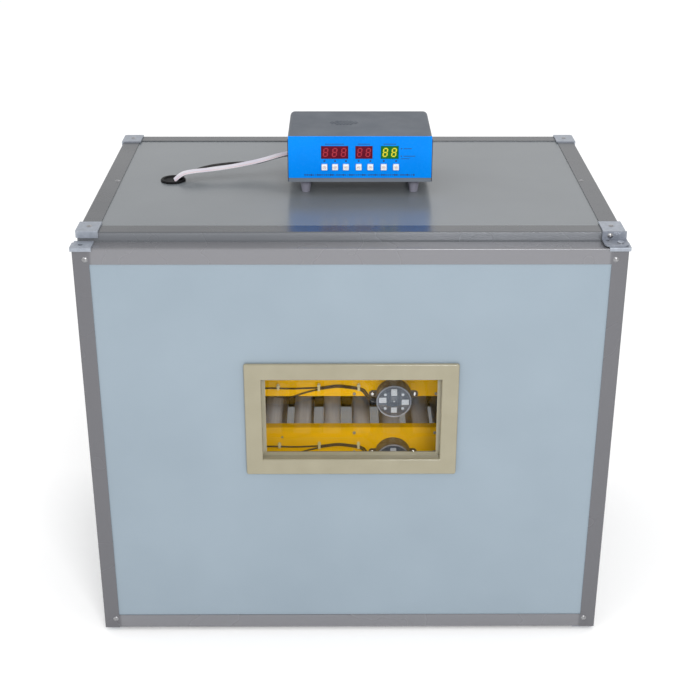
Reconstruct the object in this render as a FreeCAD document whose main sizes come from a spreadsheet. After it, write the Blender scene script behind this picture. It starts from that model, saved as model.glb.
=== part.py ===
import FreeCAD, Part
import math
import os
import Sketcher
from types import SimpleNamespace
from FreeCAD import Placement, Rotation, Vector

# Egg incubator: an insulated cabinet with a windowed door, four roller trays and a controller on top.
# Millimetres. X to the right, Y to the back, Z up, origin at the middle of the footprint, on the floor.

doc = FreeCAD.newDocument("EggIncubator")

SIZES = {
    # insulated cabinet
    "cabinet_width": 694,
    "cabinet_front": -204,
    "cabinet_back": 234,
    "cabinet_bottom": 5,
    "cabinet_top": 595,
    "panel_thick": 25,
    "profile_wall": 1.2,
    "profile_leg": 25,
    "profile_round": 1.8,
    "cap_wall": 2,
    "cap_across": 27,
    "cap_deep": 35,
    "cap_lip": 9,
    "foot_radius": 14,
    "foot_inset": 47,
    # fastener heads: a dome of this radius, cut off at this latitude
    "rivet_sphere": 5.31,
    "rivet_rise": 1.5,
    "rivet_latitude": 45.9,
    "rivet_low": 60,
    "rivet_mid": 300,
    "rivet_high": 540,
    "door_rivet_inset": 16,
    "door_rivet_drop": 14.5,
    # door
    "door_width": 700,
    "door_front": -232,
    "door_thick": 24,
    "door_bottom": 6,
    "door_top": 583,
    "door_leg": 21,
    "door_cap_across": 25,
    "door_cap_rim": 5,
    "door_cap_lip_deep": 20,
    "pivot_inset": 10,
    "pin_radius": 3,
    "pin_depth": 22,
    "running_gap": 0.05,
    "body_gap": 0.3,
    "hinge_across": 31,
    "hinge_wall": 2,
    "strap_inset": 4,
    "tab_rivet_inset": 10,
    "tab_rivet_drop": 3.7,
    "pin_head": 4.2,
    "seal_outset": 339,
    "seal_edge": 1.2,
    "seal_across": 9,
    "seal_thick": 3.7,
    # window in the door
    "window_x": 1.3,
    "window_z": 341.8,
    "window_width": 282,
    "window_tall": 164.5,
    "window_proud": 4,
    "window_corner": 3,
    "window_step": 12.5,
    "window_ledge": 2.5,
    "ledge_across": 4.6,
    "pane_thick": 4,
    "pane_edge": 2,
    "opening_width": 237,
    "opening_tall": 118,
    "sleeve_wall": 6,
    "sleeve_back": 2,
    # egg trays
    "tray_left": -300,
    "tray_right": 294,
    "tray_front": -152,
    "tray_back": 172,
    "tray_first": 153.1,
    "tray_pitch": 91.4,
    "rail_tall": 42,
    "rail_flange": 13,
    "rail_wall": 1.2,
    "bearing_strip": 2,
    "roller_first": -283,
    "roller_pitch": 42.9,
    "roller_rise": 15,
    "roller_radius": 12.5,
    "roller_wall": 2,
    "roller_plug": 8,
    "roller_gap": 0.6,
    "shaft_radius": 4,
    "shaft_clear": 0.2,
    "drive_end": 14,
    "pulley_radius": 9,
    "pulley_across": 7,
    "belt_gap": 0.2,
    "belt_thick": 1.5,
    "belt_across": 4,
    "motor_radius": 25,
    "motor_deep": 20,
    "motor_rise": 1.5,
    "ear_reach": 29,
    "ear_radius": 5,
    "ear_rise": 4,
    "ear_thick": 1.5,
    "lead_radius": 1.1,
    "loom_radius": 3.5,
    "loom_x": -306,
    "loom_y": -157,
    "runner_wall": 1.5,
    "runner_tall": 20,
    "runner_reach": 10,
    # fittings inside the cabinet
    "pan_width": 460,
    "pan_deep": 260,
    "pan_tall": 34.5,
    "pan_y": -10,
    "pan_wall": 2,
    "pan_rim": 6,
    "pan_corner": 14,
    "heater_radius": 5,
    "heater_y": 188,
    "heater_z": 100,
    "gland_radius": 11,
    "gland_deep": 12,
    "fan_z": 300,
    "fan_front": 176,
    "fan_deep": 25,
    "fan_across": 120,
    "fan_bore": 57,
    "fan_boss": 21,
    "fan_strut": 8,
    "fan_strut_deep": 5,
    "fan_standoff": 4,
    "fan_standoff_inset": 6,
    "hub_inset": 2,
    "hub_radius": 20,
    "hub_deep": 15,
    "blade_tip": 54,
    "blade_count": 7,
    "blade_thick": 2.5,
    "blade_lean": 6,
    "fan_shaft": 2,
    "probe_x": -120,
    "probe_y": 20,
    "probe_radius": 6.5,
    "probe_drop": 46,
    # cable entry in the cabinet top
    "grommet_x": -249,
    "grommet_y": 13,
    "grommet_radius": 17.5,
    "grommet_body": 14,
    "grommet_rise": 3,
    "dish_rise": 1.2,
    "ribbon_width": 17,
    "ribbon_thick": 1.2,
    "wire_radius": 1.6,
    # controller
    "box_x": 13.7,
    "box_width": 196.4,
    "box_front": -53,
    "box_back": 77,
    "box_bottom": 613,
    "box_top": 676.5,
    "box_wall": 1.2,
    "box_bend": 7,
    "face_thick": 1.6,
    "face_inset": 1.2,
    "face_bottom": 618.6,
    "wall_top": 669,
    "display_bottom": 645.5,
    "display_top": 663,
    "display_recess": 0.6,
    "board_front": -44,
    "board_thick": 1.6,
    "board_left": -70,
    "board_right": 98,
    "board_low": 622,
    "board_high": 667,
    "standoff_radius": 2.5,
    "standoff_inset": 5,
    "relay_first": -55,
    "relay_pitch": 25,
    "relay_width": 19,
    "relay_low": 630,
    "relay_tall": 16,
    "relay_deep": 15,
    "button_width": 8,
    "button_tall": 8.4,
    "button_z": 634,
    "button_proud": 3,
    "button_flange": 1.2,
    "switch_across": 6,
    "switch_tall": 3.5,
    "box_foot_top": 8.5,
    "box_foot_base": 5.5,
    "box_foot_spread": 74.3,
    "box_foot_inset": 20,
    "vent_radius": 1.4,
    "vent_pitch": 4.6,
    "vent_x": -8,
    "vent_y": 6,
    "slot_front": 42,
    "slot_back": 67,
    "slot_rise": 4,
    "slot_tall": 13,
    "inlet_x": 84,
    "inlet_z": 641,
    "inlet_width": 28,
    "inlet_tall": 22,
    "inlet_flange": 2.5,
    "inlet_lip": 2,
    "inlet_body": 17,
    "inlet_socket": 14,
    "inlet_wall": 2.5,
}

# Left and right edges of the three digit displays, and the middles of the seven buttons under them.
DISPLAYS = ((-38.9, -2.5), (7.5, 30.4), (42.0, 65.5))
BUTTONS = (-34.5, -20.1, -5.4, 11.9, 27.7, 45.9, 62.5)
TRAYS = 4
ROLLERS = 14
DRIVEN_ROLLER = 8
TURNING_TRAY = 1
VENT_ROWS = (5, 8, 9, 8, 5)
PLANE_FLIP = {"XY_Plane": False, "YZ_Plane": False, "XZ_Plane": True}


class Size:
    """A length from the sheet: its value now, and the expression that keeps a property bound to it."""

    def __init__(self, value, text=None):
        self.value = float(value)
        self.text = text or repr(float(value))

    def combine(self, sign, other, value):
        return Size(value, f"({self.text} {sign} {other.text})")

    def __add__(self, other):
        other = as_size(other)
        return self.combine("+", other, self.value + other.value)

    def __sub__(self, other):
        other = as_size(other)
        return self.combine("-", other, self.value - other.value)

    def __mul__(self, other):
        other = as_size(other)
        return self.combine("*", other, self.value * other.value)

    def __truediv__(self, other):
        other = as_size(other)
        return self.combine("/", other, self.value / other.value)

    def __radd__(self, other):
        return as_size(other) + self

    def __rsub__(self, other):
        return as_size(other) - self

    def __rmul__(self, other):
        return as_size(other) * self

    def __neg__(self):
        return as_size(0) - self

    def __float__(self):
        return self.value


def as_size(amount):
    return amount if isinstance(amount, Size) else Size(amount)


def fill_sheet():
    """Put every driving dimension in the sheet under its alias, and return them as Sizes."""
    sheet = doc.addObject("Spreadsheet::Sheet", "Sizes")
    for row, (alias, value) in enumerate(SIZES.items(), start=1):
        sheet.set(f"A{row}", alias)
        sheet.set(f"B{row}", str(value))
        sheet.setAlias(f"B{row}", alias)
    doc.recompute()
    return SimpleNamespace(**{alias: Size(sheet.get(alias), f"Sizes.{alias}") for alias in SIZES})


size = fill_sheet()
nodes = []


def node(item):
    """Mark an object as a finished sub-part."""
    nodes.append(item)
    return item


def bind(item, name, amount):
    item.setExpression(name, as_size(amount).text)


def place(item, spot):
    for axis, amount in zip("xyz", spot):
        bind(item, f".Placement.Base.{axis}", amount)


def box(name, corner, opposite):
    """Box between two opposite corners, given in any order."""
    item = doc.addObject("Part::Box", name)
    low = [min(pair, key=float) for pair in zip(corner, opposite)]
    high = [max(pair, key=float) for pair in zip(corner, opposite)]
    for prop, start, end in zip(("Length", "Width", "Height"), low, high):
        bind(item, prop, as_size(end) - start)
    place(item, low)
    return item


def turned(item, direction, spot):
    """Stand a primitive's own Z axis along a direction, with its base at a spot."""
    item.Placement = Placement(Vector(0, 0, 0), Rotation(Vector(0, 0, 1), Vector(*direction)))
    place(item, spot)
    return item


def cylinder(name, radius, spot, length, direction=(0, 0, 1)):
    item = doc.addObject("Part::Cylinder", name)
    bind(item, "Radius", radius)
    bind(item, "Height", length)
    return turned(item, direction, spot)


def dome(name, spot, direction):
    """Domed fastener head standing on a face at a spot, pointing along a direction."""
    item = doc.addObject("Part::Sphere", name)
    bind(item, "Radius", size.rivet_sphere)
    bind(item, "Angle1", size.rivet_latitude)
    sunk = size.rivet_sphere - size.rivet_rise
    return turned(item, direction, [as_size(at) - sunk * way for at, way in zip(spot, direction)])


def cut(name, base, *tools):
    """Base less each tool in turn."""
    for count, tool in enumerate(tools, start=1):
        item = doc.addObject("Part::Cut", name if count == len(tools) else f"{name}_less_{count}")
        item.Base = base
        item.Tool = tool
        base = item
    return base


def fuse(name, *items):
    item = doc.addObject("Part::MultiFuse", name)
    item.Shapes = list(items)
    item.Refine = True
    return item


def group(name, items):
    """Identical pieces kept as separate solids of one sub-part."""
    item = doc.addObject("Part::Compound", name)
    item.Links = list(items)
    return item


def edge_names(shape, wanted):
    return [f"Edge{count}" for count, edge in enumerate(shape.Edges, start=1) if wanted(edge.BoundBox)]


def rounded(name, base, radius, wanted):
    """Part fillet on every edge whose bounding box passes the test."""
    doc.recompute()
    item = doc.addObject("Part::Fillet", name)
    item.Base = base
    numbers = [int(label[4:]) for label in edge_names(base.Shape, wanted)]
    item.Edges = [(number, float(radius), float(radius)) for number in numbers]
    return item


def lies(reach, axis, target):
    """Whether an edge's bounding box is flat on the plane where an axis has this value."""
    target = float(target)
    return max(abs(getattr(reach, f"{axis}Min") - target), abs(getattr(reach, f"{axis}Max") - target)) < 0.01


def runs_along(reach, axis):
    """Whether an edge is straight along one axis and longer than a rounding."""
    return all((getattr(reach, f"{other}Length") > 1) == (other == axis) for other in "XYZ")


def new_body(name):
    return doc.addObject("PartDesign::Body", name)


def sketch_on(body, role, offset):
    """Empty sketch on one of the body's own origin planes, moved along that plane's normal."""
    sketch = body.newObject("Sketcher::SketchObject", f"{body.Name}_sketch")
    support = next(plane for plane in body.Origin.OriginFeatures if plane.Role == role)
    sketch.AttachmentSupport = [(support, "")]
    sketch.MapMode = "FlatFace"
    bind(sketch, ".AttachmentOffset.Base.z", offset)
    return sketch


def dimension(sketch, kind, item, point, amount):
    """Hold a point at a signed distance from the sketch's origin, bound to the sheet."""
    if float(amount) == 0:
        axis = -2 if kind == "DistanceX" else -1
        sketch.addConstraint(Sketcher.Constraint("PointOnObject", item, point, axis))
        return
    index = sketch.addConstraint(Sketcher.Constraint(kind, -1, 1, item, point, float(amount)))
    bind(sketch, f"Constraints[{index}]", amount)


def draw_lines(sketch, points):
    """Closed outline of straight lines, every corner dimensioned."""
    first = sketch.GeometryCount
    total = len(points)
    spots = [Vector(float(across), float(up), 0) for across, up in points]
    for count in range(total):
        sketch.addGeometry(Part.LineSegment(spots[count], spots[(count + 1) % total]))
    for count in range(total):
        follower = first + (count + 1) % total
        sketch.addConstraint(Sketcher.Constraint("Coincident", first + count, 2, follower, 1))
    for count, (across, up) in enumerate(points):
        dimension(sketch, "DistanceX", first + count, 1, across)
        dimension(sketch, "DistanceY", first + count, 1, up)


def draw_circle(sketch, across, up, radius):
    middle = Vector(float(across), float(up), 0)
    index = sketch.addGeometry(Part.Circle(middle, Vector(0, 0, 1), float(radius)))
    dimension(sketch, "DistanceX", index, 3, across)
    dimension(sketch, "DistanceY", index, 3, up)
    held = sketch.addConstraint(Sketcher.Constraint("Radius", index, float(radius)))
    bind(sketch, f"Constraints[{held}]", radius)


def rectangle(low_across, low_up, high_across, high_up):
    return [(low_across, low_up), (high_across, low_up), (high_across, high_up), (low_across, high_up)]


def centred(across, up, width, tall):
    across = as_size(across)
    up = as_size(up)
    return rectangle(across - width / 2, up - tall / 2, across + width / 2, up + tall / 2)


def extrude(body, kind, role, low, high, lines=(), circles=()):
    """Pad or Pocket from one coordinate to a higher one along the plane's axis."""
    before = body.Shape.Volume if body.Tip else 0.0
    flip = PLANE_FLIP[role]
    sketch = sketch_on(body, role, -as_size(low) if flip else low)
    for outline in lines:
        draw_lines(sketch, outline)
    for circle in circles:
        draw_circle(sketch, *circle)
    feature = body.newObject(f"PartDesign::{kind}", f"{body.Name}_{kind.lower()}")
    feature.Profile = sketch
    bind(feature, "Length", as_size(high) - low)
    feature.Reversed = flip if kind == "Pad" else not flip
    body.Tip = feature
    doc.recompute()
    grown = body.Shape.Volume - before
    if (grown <= 0) == (kind == "Pad"):
        raise ValueError(f"{feature.Name} changes nothing")
    return feature


def revolve(body, points):
    """Solid of revolution about Z from an outline of (radius, height) points."""
    sketch = sketch_on(body, "XZ_Plane", 0)
    draw_lines(sketch, points)
    feature = body.newObject("PartDesign::Revolution", f"{body.Name}_revolution")
    feature.Profile = sketch
    feature.ReferenceAxis = (sketch, ["V_Axis"])
    feature.Angle = 360
    body.Tip = feature
    return feature


def soften(body, radius, wanted):
    """PartDesign fillet on every edge whose bounding box passes the test."""
    doc.recompute()
    base = body.Tip
    feature = body.newObject("PartDesign::Fillet", f"{body.Name}_fillet")
    feature.Base = (base, edge_names(base.Shape, wanted))
    bind(feature, "Radius", radius)
    body.Tip = feature
    return feature


def repeat_along_x(body, feature, spacing, count):
    """Row of a feature along the body's X axis."""
    row = body.newObject("PartDesign::LinearPattern", f"{body.Name}_row")
    row.Originals = [feature]
    row.Direction = (feature.Profile[0], ["H_Axis"])
    bind(row, "Length", spacing * (count - 1))
    row.Occurrences = count
    body.Tip = row
    return row


def arc_path(points, fraction=0.45):
    """Straight runs joined by tangent arcs, each as large as its two runs allow."""
    spots = [Vector(*point) for point in points]
    edges = []
    start = spots[0]
    for before, corner, after in zip(spots, spots[1:], spots[2:]):
        inward = (before - corner).normalize()
        outward = (after - corner).normalize()
        turn = math.pi - inward.getAngle(outward)
        back = fraction * min((before - corner).Length, (after - corner).Length)
        radius = back / math.tan(turn / 2)
        first = corner + inward * back
        last = corner + outward * back
        bisector = (inward + outward).normalize()
        middle = corner + bisector * (math.hypot(radius, back) - radius)
        edges.append(Part.LineSegment(start, first).toShape())
        edges.append(Part.Arc(first, middle, last).toShape())
        start = last
    edges.append(Part.LineSegment(start, spots[-1]).toShape())
    return Part.Wire(edges)


def arc_radii(points, fraction=0.45):
    """Radius of each tangent arc, for the check that a cord bends gently."""
    radii = []
    spots = [Vector(*point) for point in points]
    for before, corner, after in zip(spots, spots[1:], spots[2:]):
        turn = math.pi - (before - corner).getAngle(after - corner)
        radii.append(fraction * min((before - corner).Length, (after - corner).Length) / math.tan(turn / 2))
    return radii


def tube(points, radius, fraction=0.45):
    """Round solid along an arc path."""
    path = arc_path(points, fraction)
    start = Vector(*points[0])
    direction = Vector(*points[1]) - start
    ring = Part.Wire([Part.Circle(start, direction, float(radius)).toShape()])
    solid = path.makePipeShell([ring], True, False)
    expected = math.pi * float(radius) ** 2 * path.Length
    if abs(solid.Volume / expected - 1) > 0.02:
        raise ValueError("a tube's volume does not match its section times its length")
    return solid


def shape_node(name, shape):
    item = doc.addObject("Part::Feature", name)
    item.Shape = shape
    item.Placement = Placement(Vector(0, 0, 0), Rotation())
    return node(item)


# ---- cabinet ---------------------------------------------------------------------------------------

half_cabinet = size.cabinet_width / 2
skin_x = half_cabinet - size.profile_wall
skin_front = size.cabinet_front + size.profile_wall
skin_back = size.cabinet_back - size.profile_wall
skin_bottom = size.cabinet_bottom + size.profile_wall
skin_top = size.cabinet_top - size.profile_wall
inside_x = skin_x - size.panel_thick
inside_back = skin_back - size.panel_thick
inside_bottom = skin_bottom + size.panel_thick
inside_top = skin_top - size.panel_thick


def cabinet_panels():
    """Five sandwich panels; the grommet's hole is in the top one."""
    low = inside_bottom
    high = inside_top
    node(box("left_panel", (-skin_x, skin_front, low), (-inside_x, inside_back, high)))
    node(box("right_panel", (inside_x, skin_front, low), (skin_x, inside_back, high)))
    node(box("back_panel", (-skin_x, inside_back, low), (skin_x, skin_back, high)))
    node(box("bottom_panel", (-skin_x, skin_front, skin_bottom), (skin_x, skin_back, low)))
    top = new_body("top_panel")
    hole = (size.grommet_x, size.grommet_y, size.grommet_body + size.body_gap)
    outline = rectangle(-skin_x, skin_front, skin_x, skin_back)
    extrude(top, "Pad", "XY_Plane", high, skin_top, [outline], [hole])
    node(top)


def angle_profile(name, first, second):
    """Two flat legs, each a pair of corners, joined into one angle section."""
    return fuse(name, box(f"{name}_leg", *first), box(f"{name}_other_leg", *second))


def rolled(name, base, outside):
    """Section whose long outer edge, at these coordinates of two axes, is rounded over."""
    return rounded(name, base, size.profile_round,
                   lambda reach: all(lies(reach, axis, target) for axis, target in outside.items()))


def edge_profile(name, first, second, outside):
    return rolled(name, angle_profile(f"{name}_section", first, second), outside)


def cabinet_profiles():
    """Twelve angle sections: depthwise ones run through, posts and crosswise ones butt between them."""
    leg = size.profile_leg
    inner = half_cabinet - leg
    levels = {
        "top": (size.cabinet_top, skin_top, size.cabinet_top - leg),
        "low": (size.cabinet_bottom, skin_bottom, size.cabinet_bottom + leg),
    }
    ends = {
        "front": (size.cabinet_front, skin_front, size.cabinet_front + leg),
        "back": (size.cabinet_back, skin_back, size.cabinet_back - leg),
    }
    sides = {"left": -1, "right": 1}
    pieces = []
    for level, (face, skin, reach) in levels.items():
        for side, way in sides.items():
            flat = (inner * way, size.cabinet_front, face), (half_cabinet * way, size.cabinet_back, skin)
            wall = (skin_x * way, skin_front, skin), (half_cabinet * way, skin_back, reach)
            pieces.append(edge_profile(f"{level}_{side}_profile", flat, wall,
                                       {"X": half_cabinet * way, "Z": face}))
        for end, (front, front_skin, deep) in ends.items():
            flat = (-inner, front, face), (inner, deep, skin)
            wall = (-inner, front, skin), (inner, front_skin, reach)
            pieces.append(edge_profile(f"{level}_{end}_profile", flat, wall, {"Y": front, "Z": face}))
    for side, way in sides.items():
        for end, (front, front_skin, deep) in ends.items():
            flat = (inner * way, front, skin_bottom), (half_cabinet * way, front_skin, skin_top)
            wall_low = (skin_x * way, front_skin, levels["low"][2])
            wall_high = (half_cabinet * way, deep, levels["top"][2])
            pieces.append(edge_profile(f"{end}_{side}_post", flat, (wall_low, wall_high),
                                       {"X": half_cabinet * way, "Y": front}))
    node(group("cabinet_profiles", pieces))


def corner_cap(name, way, face, inward):
    """Three-sided cap over a top corner; inward is +1 at the front and -1 at the back."""
    wall = size.cap_wall
    outer_x = (half_cabinet + wall) * way
    inner_x = (half_cabinet - size.cap_across) * way
    outer_y = face - wall * inward
    inner_y = face + size.cap_deep * inward
    top = size.cabinet_top + wall
    low = top - size.cap_lip
    block = box(f"{name}_block", (outer_x, outer_y, low), (inner_x, inner_y, top))
    hollow_low = (half_cabinet * way, face, low - wall)
    hollow_high = (inner_x - wall * way, inner_y + wall * inward, size.cabinet_top)
    shell = cut(f"{name}_shell", block, box(f"{name}_hollow", hollow_low, hollow_high))
    upright = rounded(f"{name}_upright", shell, wall * 2,
                      lambda reach: lies(reach, "X", outer_x) and lies(reach, "Y", outer_y))
    return rounded(name, upright, wall * 0.4, lambda reach: lies(reach, "Z", top)
                   and not lies(reach, "X", inner_x) and not lies(reach, "Y", inner_y))


def cabinet_corner_caps():
    ends = {"front": (size.cabinet_front, 1), "back": (size.cabinet_back, -1)}
    caps = []
    for end, (face, inward) in ends.items():
        for side, way in {"left": -1, "right": 1}.items():
            caps.append(corner_cap(f"{end}_{side}_cap", way, face, inward))
    node(group("cabinet_corner_caps", caps))


def cabinet_rivets():
    """Domed heads on the caps, along the depthwise profiles and down the back posts."""
    heads = []
    middle_y = (size.cabinet_front + size.cabinet_back) / 2
    cap_top = size.cabinet_top + size.cap_wall
    cap_middle = half_cabinet - size.cap_across / 2
    cap_side_z = cap_top - size.cap_lip / 2
    spread = size.cap_deep * 0.5
    levels = {"low": size.rivet_low, "mid": size.rivet_mid, "high": size.rivet_high}
    for side, way in {"left": -1, "right": 1}.items():
        edge_x = (half_cabinet - 20) * way
        side_x = half_cabinet * way
        heads.append(dome(f"{side}_top_rivet", (edge_x, middle_y - 7, size.cabinet_top), (0, 0, 1)))
        for end, y in {"front": size.cabinet_front + spread, "back": size.cabinet_back - spread}.items():
            cap_side_x = (half_cabinet + size.cap_wall) * way
            heads.append(dome(f"{side}_{end}_cap_rivet", (cap_middle * way, y, cap_top), (0, 0, 1)))
            heads.append(dome(f"{side}_{end}_wall_rivet", (cap_side_x, y, cap_side_z), (way, 0, 0)))
            for level, z in levels.items():
                heads.append(dome(f"{side}_{end}_{level}_rivet", (side_x, y - 4, z), (way, 0, 0)))
        for level, z in levels.items():
            heads.append(dome(f"{side}_back_post_{level}_rivet",
                              ((half_cabinet - size.profile_leg / 2) * way, size.cabinet_back, z), (0, 1, 0)))
    tab_x = half_door - size.hinge_across + size.tab_rivet_inset
    tab_face = size.cabinet_front - size.cap_wall - size.hinge_wall
    tab_z = size.cabinet_top - size.tab_rivet_drop
    heads.append(dome("hinge_tab_rivet", (tab_x, tab_face, tab_z), (0, -1, 0)))
    node(group("cabinet_rivets", heads))


def cabinet_feet():
    pads = []
    for side, way in {"left": -1, "right": 1}.items():
        for end, y in {"front": size.cabinet_front + size.foot_inset,
                       "back": size.cabinet_back - size.foot_inset}.items():
            spot = ((half_cabinet - size.foot_inset) * way, y, 0)
            pads.append(cylinder(f"{end}_{side}_foot", size.foot_radius, spot, size.cabinet_bottom))
    node(group("cabinet_feet", pads))


def cable_grommet():
    """Rubber plug with a dished top; its body fills the hole in the top panel."""
    grommet = new_body("cable_grommet")
    rim = size.grommet_radius
    rise = size.grommet_rise
    revolve(grommet, [
        (0, -size.panel_thick),
        (size.grommet_body, -size.panel_thick),
        (size.grommet_body, 0),
        (rim, 0),
        (rim, rise * 0.6),
        (rim - rise * 0.4, rise),
        (rim - 4, rise),
        (rim - 5.5, size.dish_rise),
        (0, size.dish_rise),
    ])
    place(grommet, (size.grommet_x, size.grommet_y, skin_top))
    node(grommet)


# ---- door ------------------------------------------------------------------------------------------

half_door = size.door_width / 2
door_back = size.door_front + size.door_thick
door_skin_x = half_door - size.profile_wall
door_skin_front = size.door_front + size.profile_wall
door_skin_back = door_back - size.profile_wall
door_skin_low = size.door_bottom + size.profile_wall
door_skin_top = size.door_top - size.profile_wall
pivot_x = half_door - size.pivot_inset
pivot_y = size.door_front + size.pivot_inset
pin_hole = size.pin_radius + size.running_gap
sleeve_width = size.opening_width + size.sleeve_wall * 2
sleeve_tall = size.opening_tall + size.sleeve_wall * 2
frame_face = size.door_front - size.window_proud


def door_panel():
    """Sandwich core with the window cut-out and a bore for each hinge pin."""
    panel = new_body("door_panel")
    outline = rectangle(-door_skin_x, door_skin_low, door_skin_x, door_skin_top)
    room = size.body_gap * 2
    window = centred(size.window_x, size.window_z, sleeve_width + room, sleeve_tall + room)
    extrude(panel, "Pad", "XZ_Plane", door_skin_front, door_skin_back, [outline, window])
    bore = (pivot_x, pivot_y, pin_hole)
    extrude(panel, "Pocket", "XY_Plane", size.door_top - size.pin_depth - 1, size.door_top, [], [bore])
    extrude(panel, "Pocket", "XY_Plane", size.door_bottom, size.door_bottom + size.pin_depth + 1, [], [bore])
    node(panel)


def door_profiles():
    """Channel sections round the door; the upright ones run its full height."""
    pieces = []
    leg = size.door_leg
    inner = half_door - leg
    for side, way in {"left": -1, "right": 1}.items():
        outer = box(f"{side}_stile_bar", (inner * way, size.door_front, size.door_bottom),
                    (half_door * way, door_back, size.door_top))
        hollow = box(f"{side}_stile_hollow", ((inner - 1) * way, door_skin_front, size.door_bottom - 1),
                     (door_skin_x * way, door_skin_back, size.door_top + 1))
        pieces.append(rolled(f"{side}_stile", cut(f"{side}_stile_section", outer, hollow),
                             {"X": half_door * way, "Y": size.door_front}))
    levels = {
        "top": (size.door_top, door_skin_top, size.door_top - leg, -1),
        "bottom": (size.door_bottom, door_skin_low, size.door_bottom + leg, 1),
    }
    for level, (face, skin, reach, way) in levels.items():
        outer = box(f"{level}_rail_bar", (-inner, size.door_front, face), (inner, door_back, reach))
        hollow = box(f"{level}_rail_hollow", (-inner - 1, door_skin_front, skin),
                     (inner + 1, door_skin_back, reach + way))
        pieces.append(rolled(f"{level}_rail", cut(f"{level}_rail_section", outer, hollow),
                             {"Y": size.door_front, "Z": face}))
    node(group("door_profiles", pieces))


def door_corner_caps():
    """Caps on the door's two top corners, with a rolled rim in front and a bore for the pin."""
    caps = []
    wall = size.cap_wall
    top = size.door_top + wall
    for side, way in {"left": -1, "right": 1}.items():
        outer_x = (half_door + wall) * way
        inner_x = (half_door - size.door_cap_across) * way
        front = size.door_front - wall
        lip_end = front + size.door_cap_lip_deep
        low = top - size.door_cap_rim
        block = box(f"{side}_door_cap_block", (outer_x, front, low), (inner_x, door_back, top))
        hollow = box(f"{side}_door_cap_hollow", (half_door * way, size.door_front, low - 1),
                     (inner_x - way, door_back + 1, size.door_top))
        relief = box(f"{side}_door_cap_relief", (half_door * way, lip_end, low - 1),
                     ((half_door + wall + 1) * way, door_back + 1, top + 1))
        bore = cylinder(f"{side}_door_cap_bore", pin_hole, (pivot_x * way, pivot_y, low),
                        size.door_cap_rim + 1)
        shell = cut(f"{side}_door_cap_shell", block, hollow, relief, bore)
        caps.append(rounded(f"{side}_door_cap", shell, wall * 0.7, lambda reach: lies(reach, "Y", front)
                            and (lies(reach, "Z", top) or lies(reach, "X", outer_x))))
    node(group("door_corner_caps", caps))


def door_rivets():
    heads = []
    for side, way in {"left": -1, "right": 1}.items():
        for level, z in {"top": size.door_top - size.door_rivet_drop,
                         "bottom": size.door_bottom + size.door_rivet_drop}.items():
            spot = ((half_door - size.door_rivet_inset) * way, size.door_front, z)
            heads.append(dome(f"{side}_{level}_door_rivet", spot, (0, -1, 0)))
    node(group("door_rivets", heads))


def door_seal():
    """Magnetic gasket on the door's back, meeting the cabinet's front profiles all the way round."""
    seal = new_body("door_seal")
    across = size.seal_across
    low = size.door_bottom + size.seal_edge
    high = size.door_top - size.seal_edge
    outer = rectangle(-size.seal_outset, low, size.seal_outset, high)
    inner = rectangle(across - size.seal_outset, low + across, size.seal_outset - across, high - across)
    extrude(seal, "Pad", "XZ_Plane", door_back, door_back + size.seal_thick, [outer, inner])
    node(seal)


def window_frame():
    """Moulded frame: a proud flange, a sleeve through the door and a ledge the pane lies against."""
    frame = new_body("window_frame")
    middle = (size.window_x, size.window_z)
    step = frame_face + size.window_step
    pane_front = step + size.window_ledge
    sleeve_end = door_back - size.sleeve_back
    ledge = size.ledge_across * 2
    edge = size.pane_edge * 2
    flange = centred(*middle, size.window_width, size.window_tall)
    extrude(frame, "Pad", "XZ_Plane", frame_face, size.door_front, [flange])
    sleeve = centred(*middle, sleeve_width, sleeve_tall)
    extrude(frame, "Pad", "XZ_Plane", size.door_front, sleeve_end, [sleeve])
    opening = centred(*middle, size.opening_width, size.opening_tall)
    extrude(frame, "Pocket", "XZ_Plane", frame_face, step, [opening])
    sight = centred(*middle, size.opening_width - ledge, size.opening_tall - ledge)
    extrude(frame, "Pocket", "XZ_Plane", step, pane_front, [sight])
    seat = centred(*middle, size.opening_width + edge, size.opening_tall + edge)
    extrude(frame, "Pocket", "XZ_Plane", pane_front, sleeve_end, [seat])
    flange_sides = [size.window_x + size.window_width / 2 * way for way in (-1, 1)]
    soften(frame, size.window_corner, lambda reach: runs_along(reach, "Y")
           and any(lies(reach, "X", flange_side) for flange_side in flange_sides))
    soften(frame, size.window_proud * 0.6, lambda reach: lies(reach, "Y", frame_face))
    node(frame)


def window_pane():
    front = frame_face + size.window_step + size.window_ledge
    edge = size.pane_edge * 2 - size.body_gap * 2
    half_width = (size.opening_width + edge) / 2
    half_tall = (size.opening_tall + edge) / 2
    low = (size.window_x - half_width, front, size.window_z - half_tall)
    high = (size.window_x + half_width, front + size.pane_thick, size.window_z + half_tall)
    node(box("window_pane", low, high))


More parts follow.
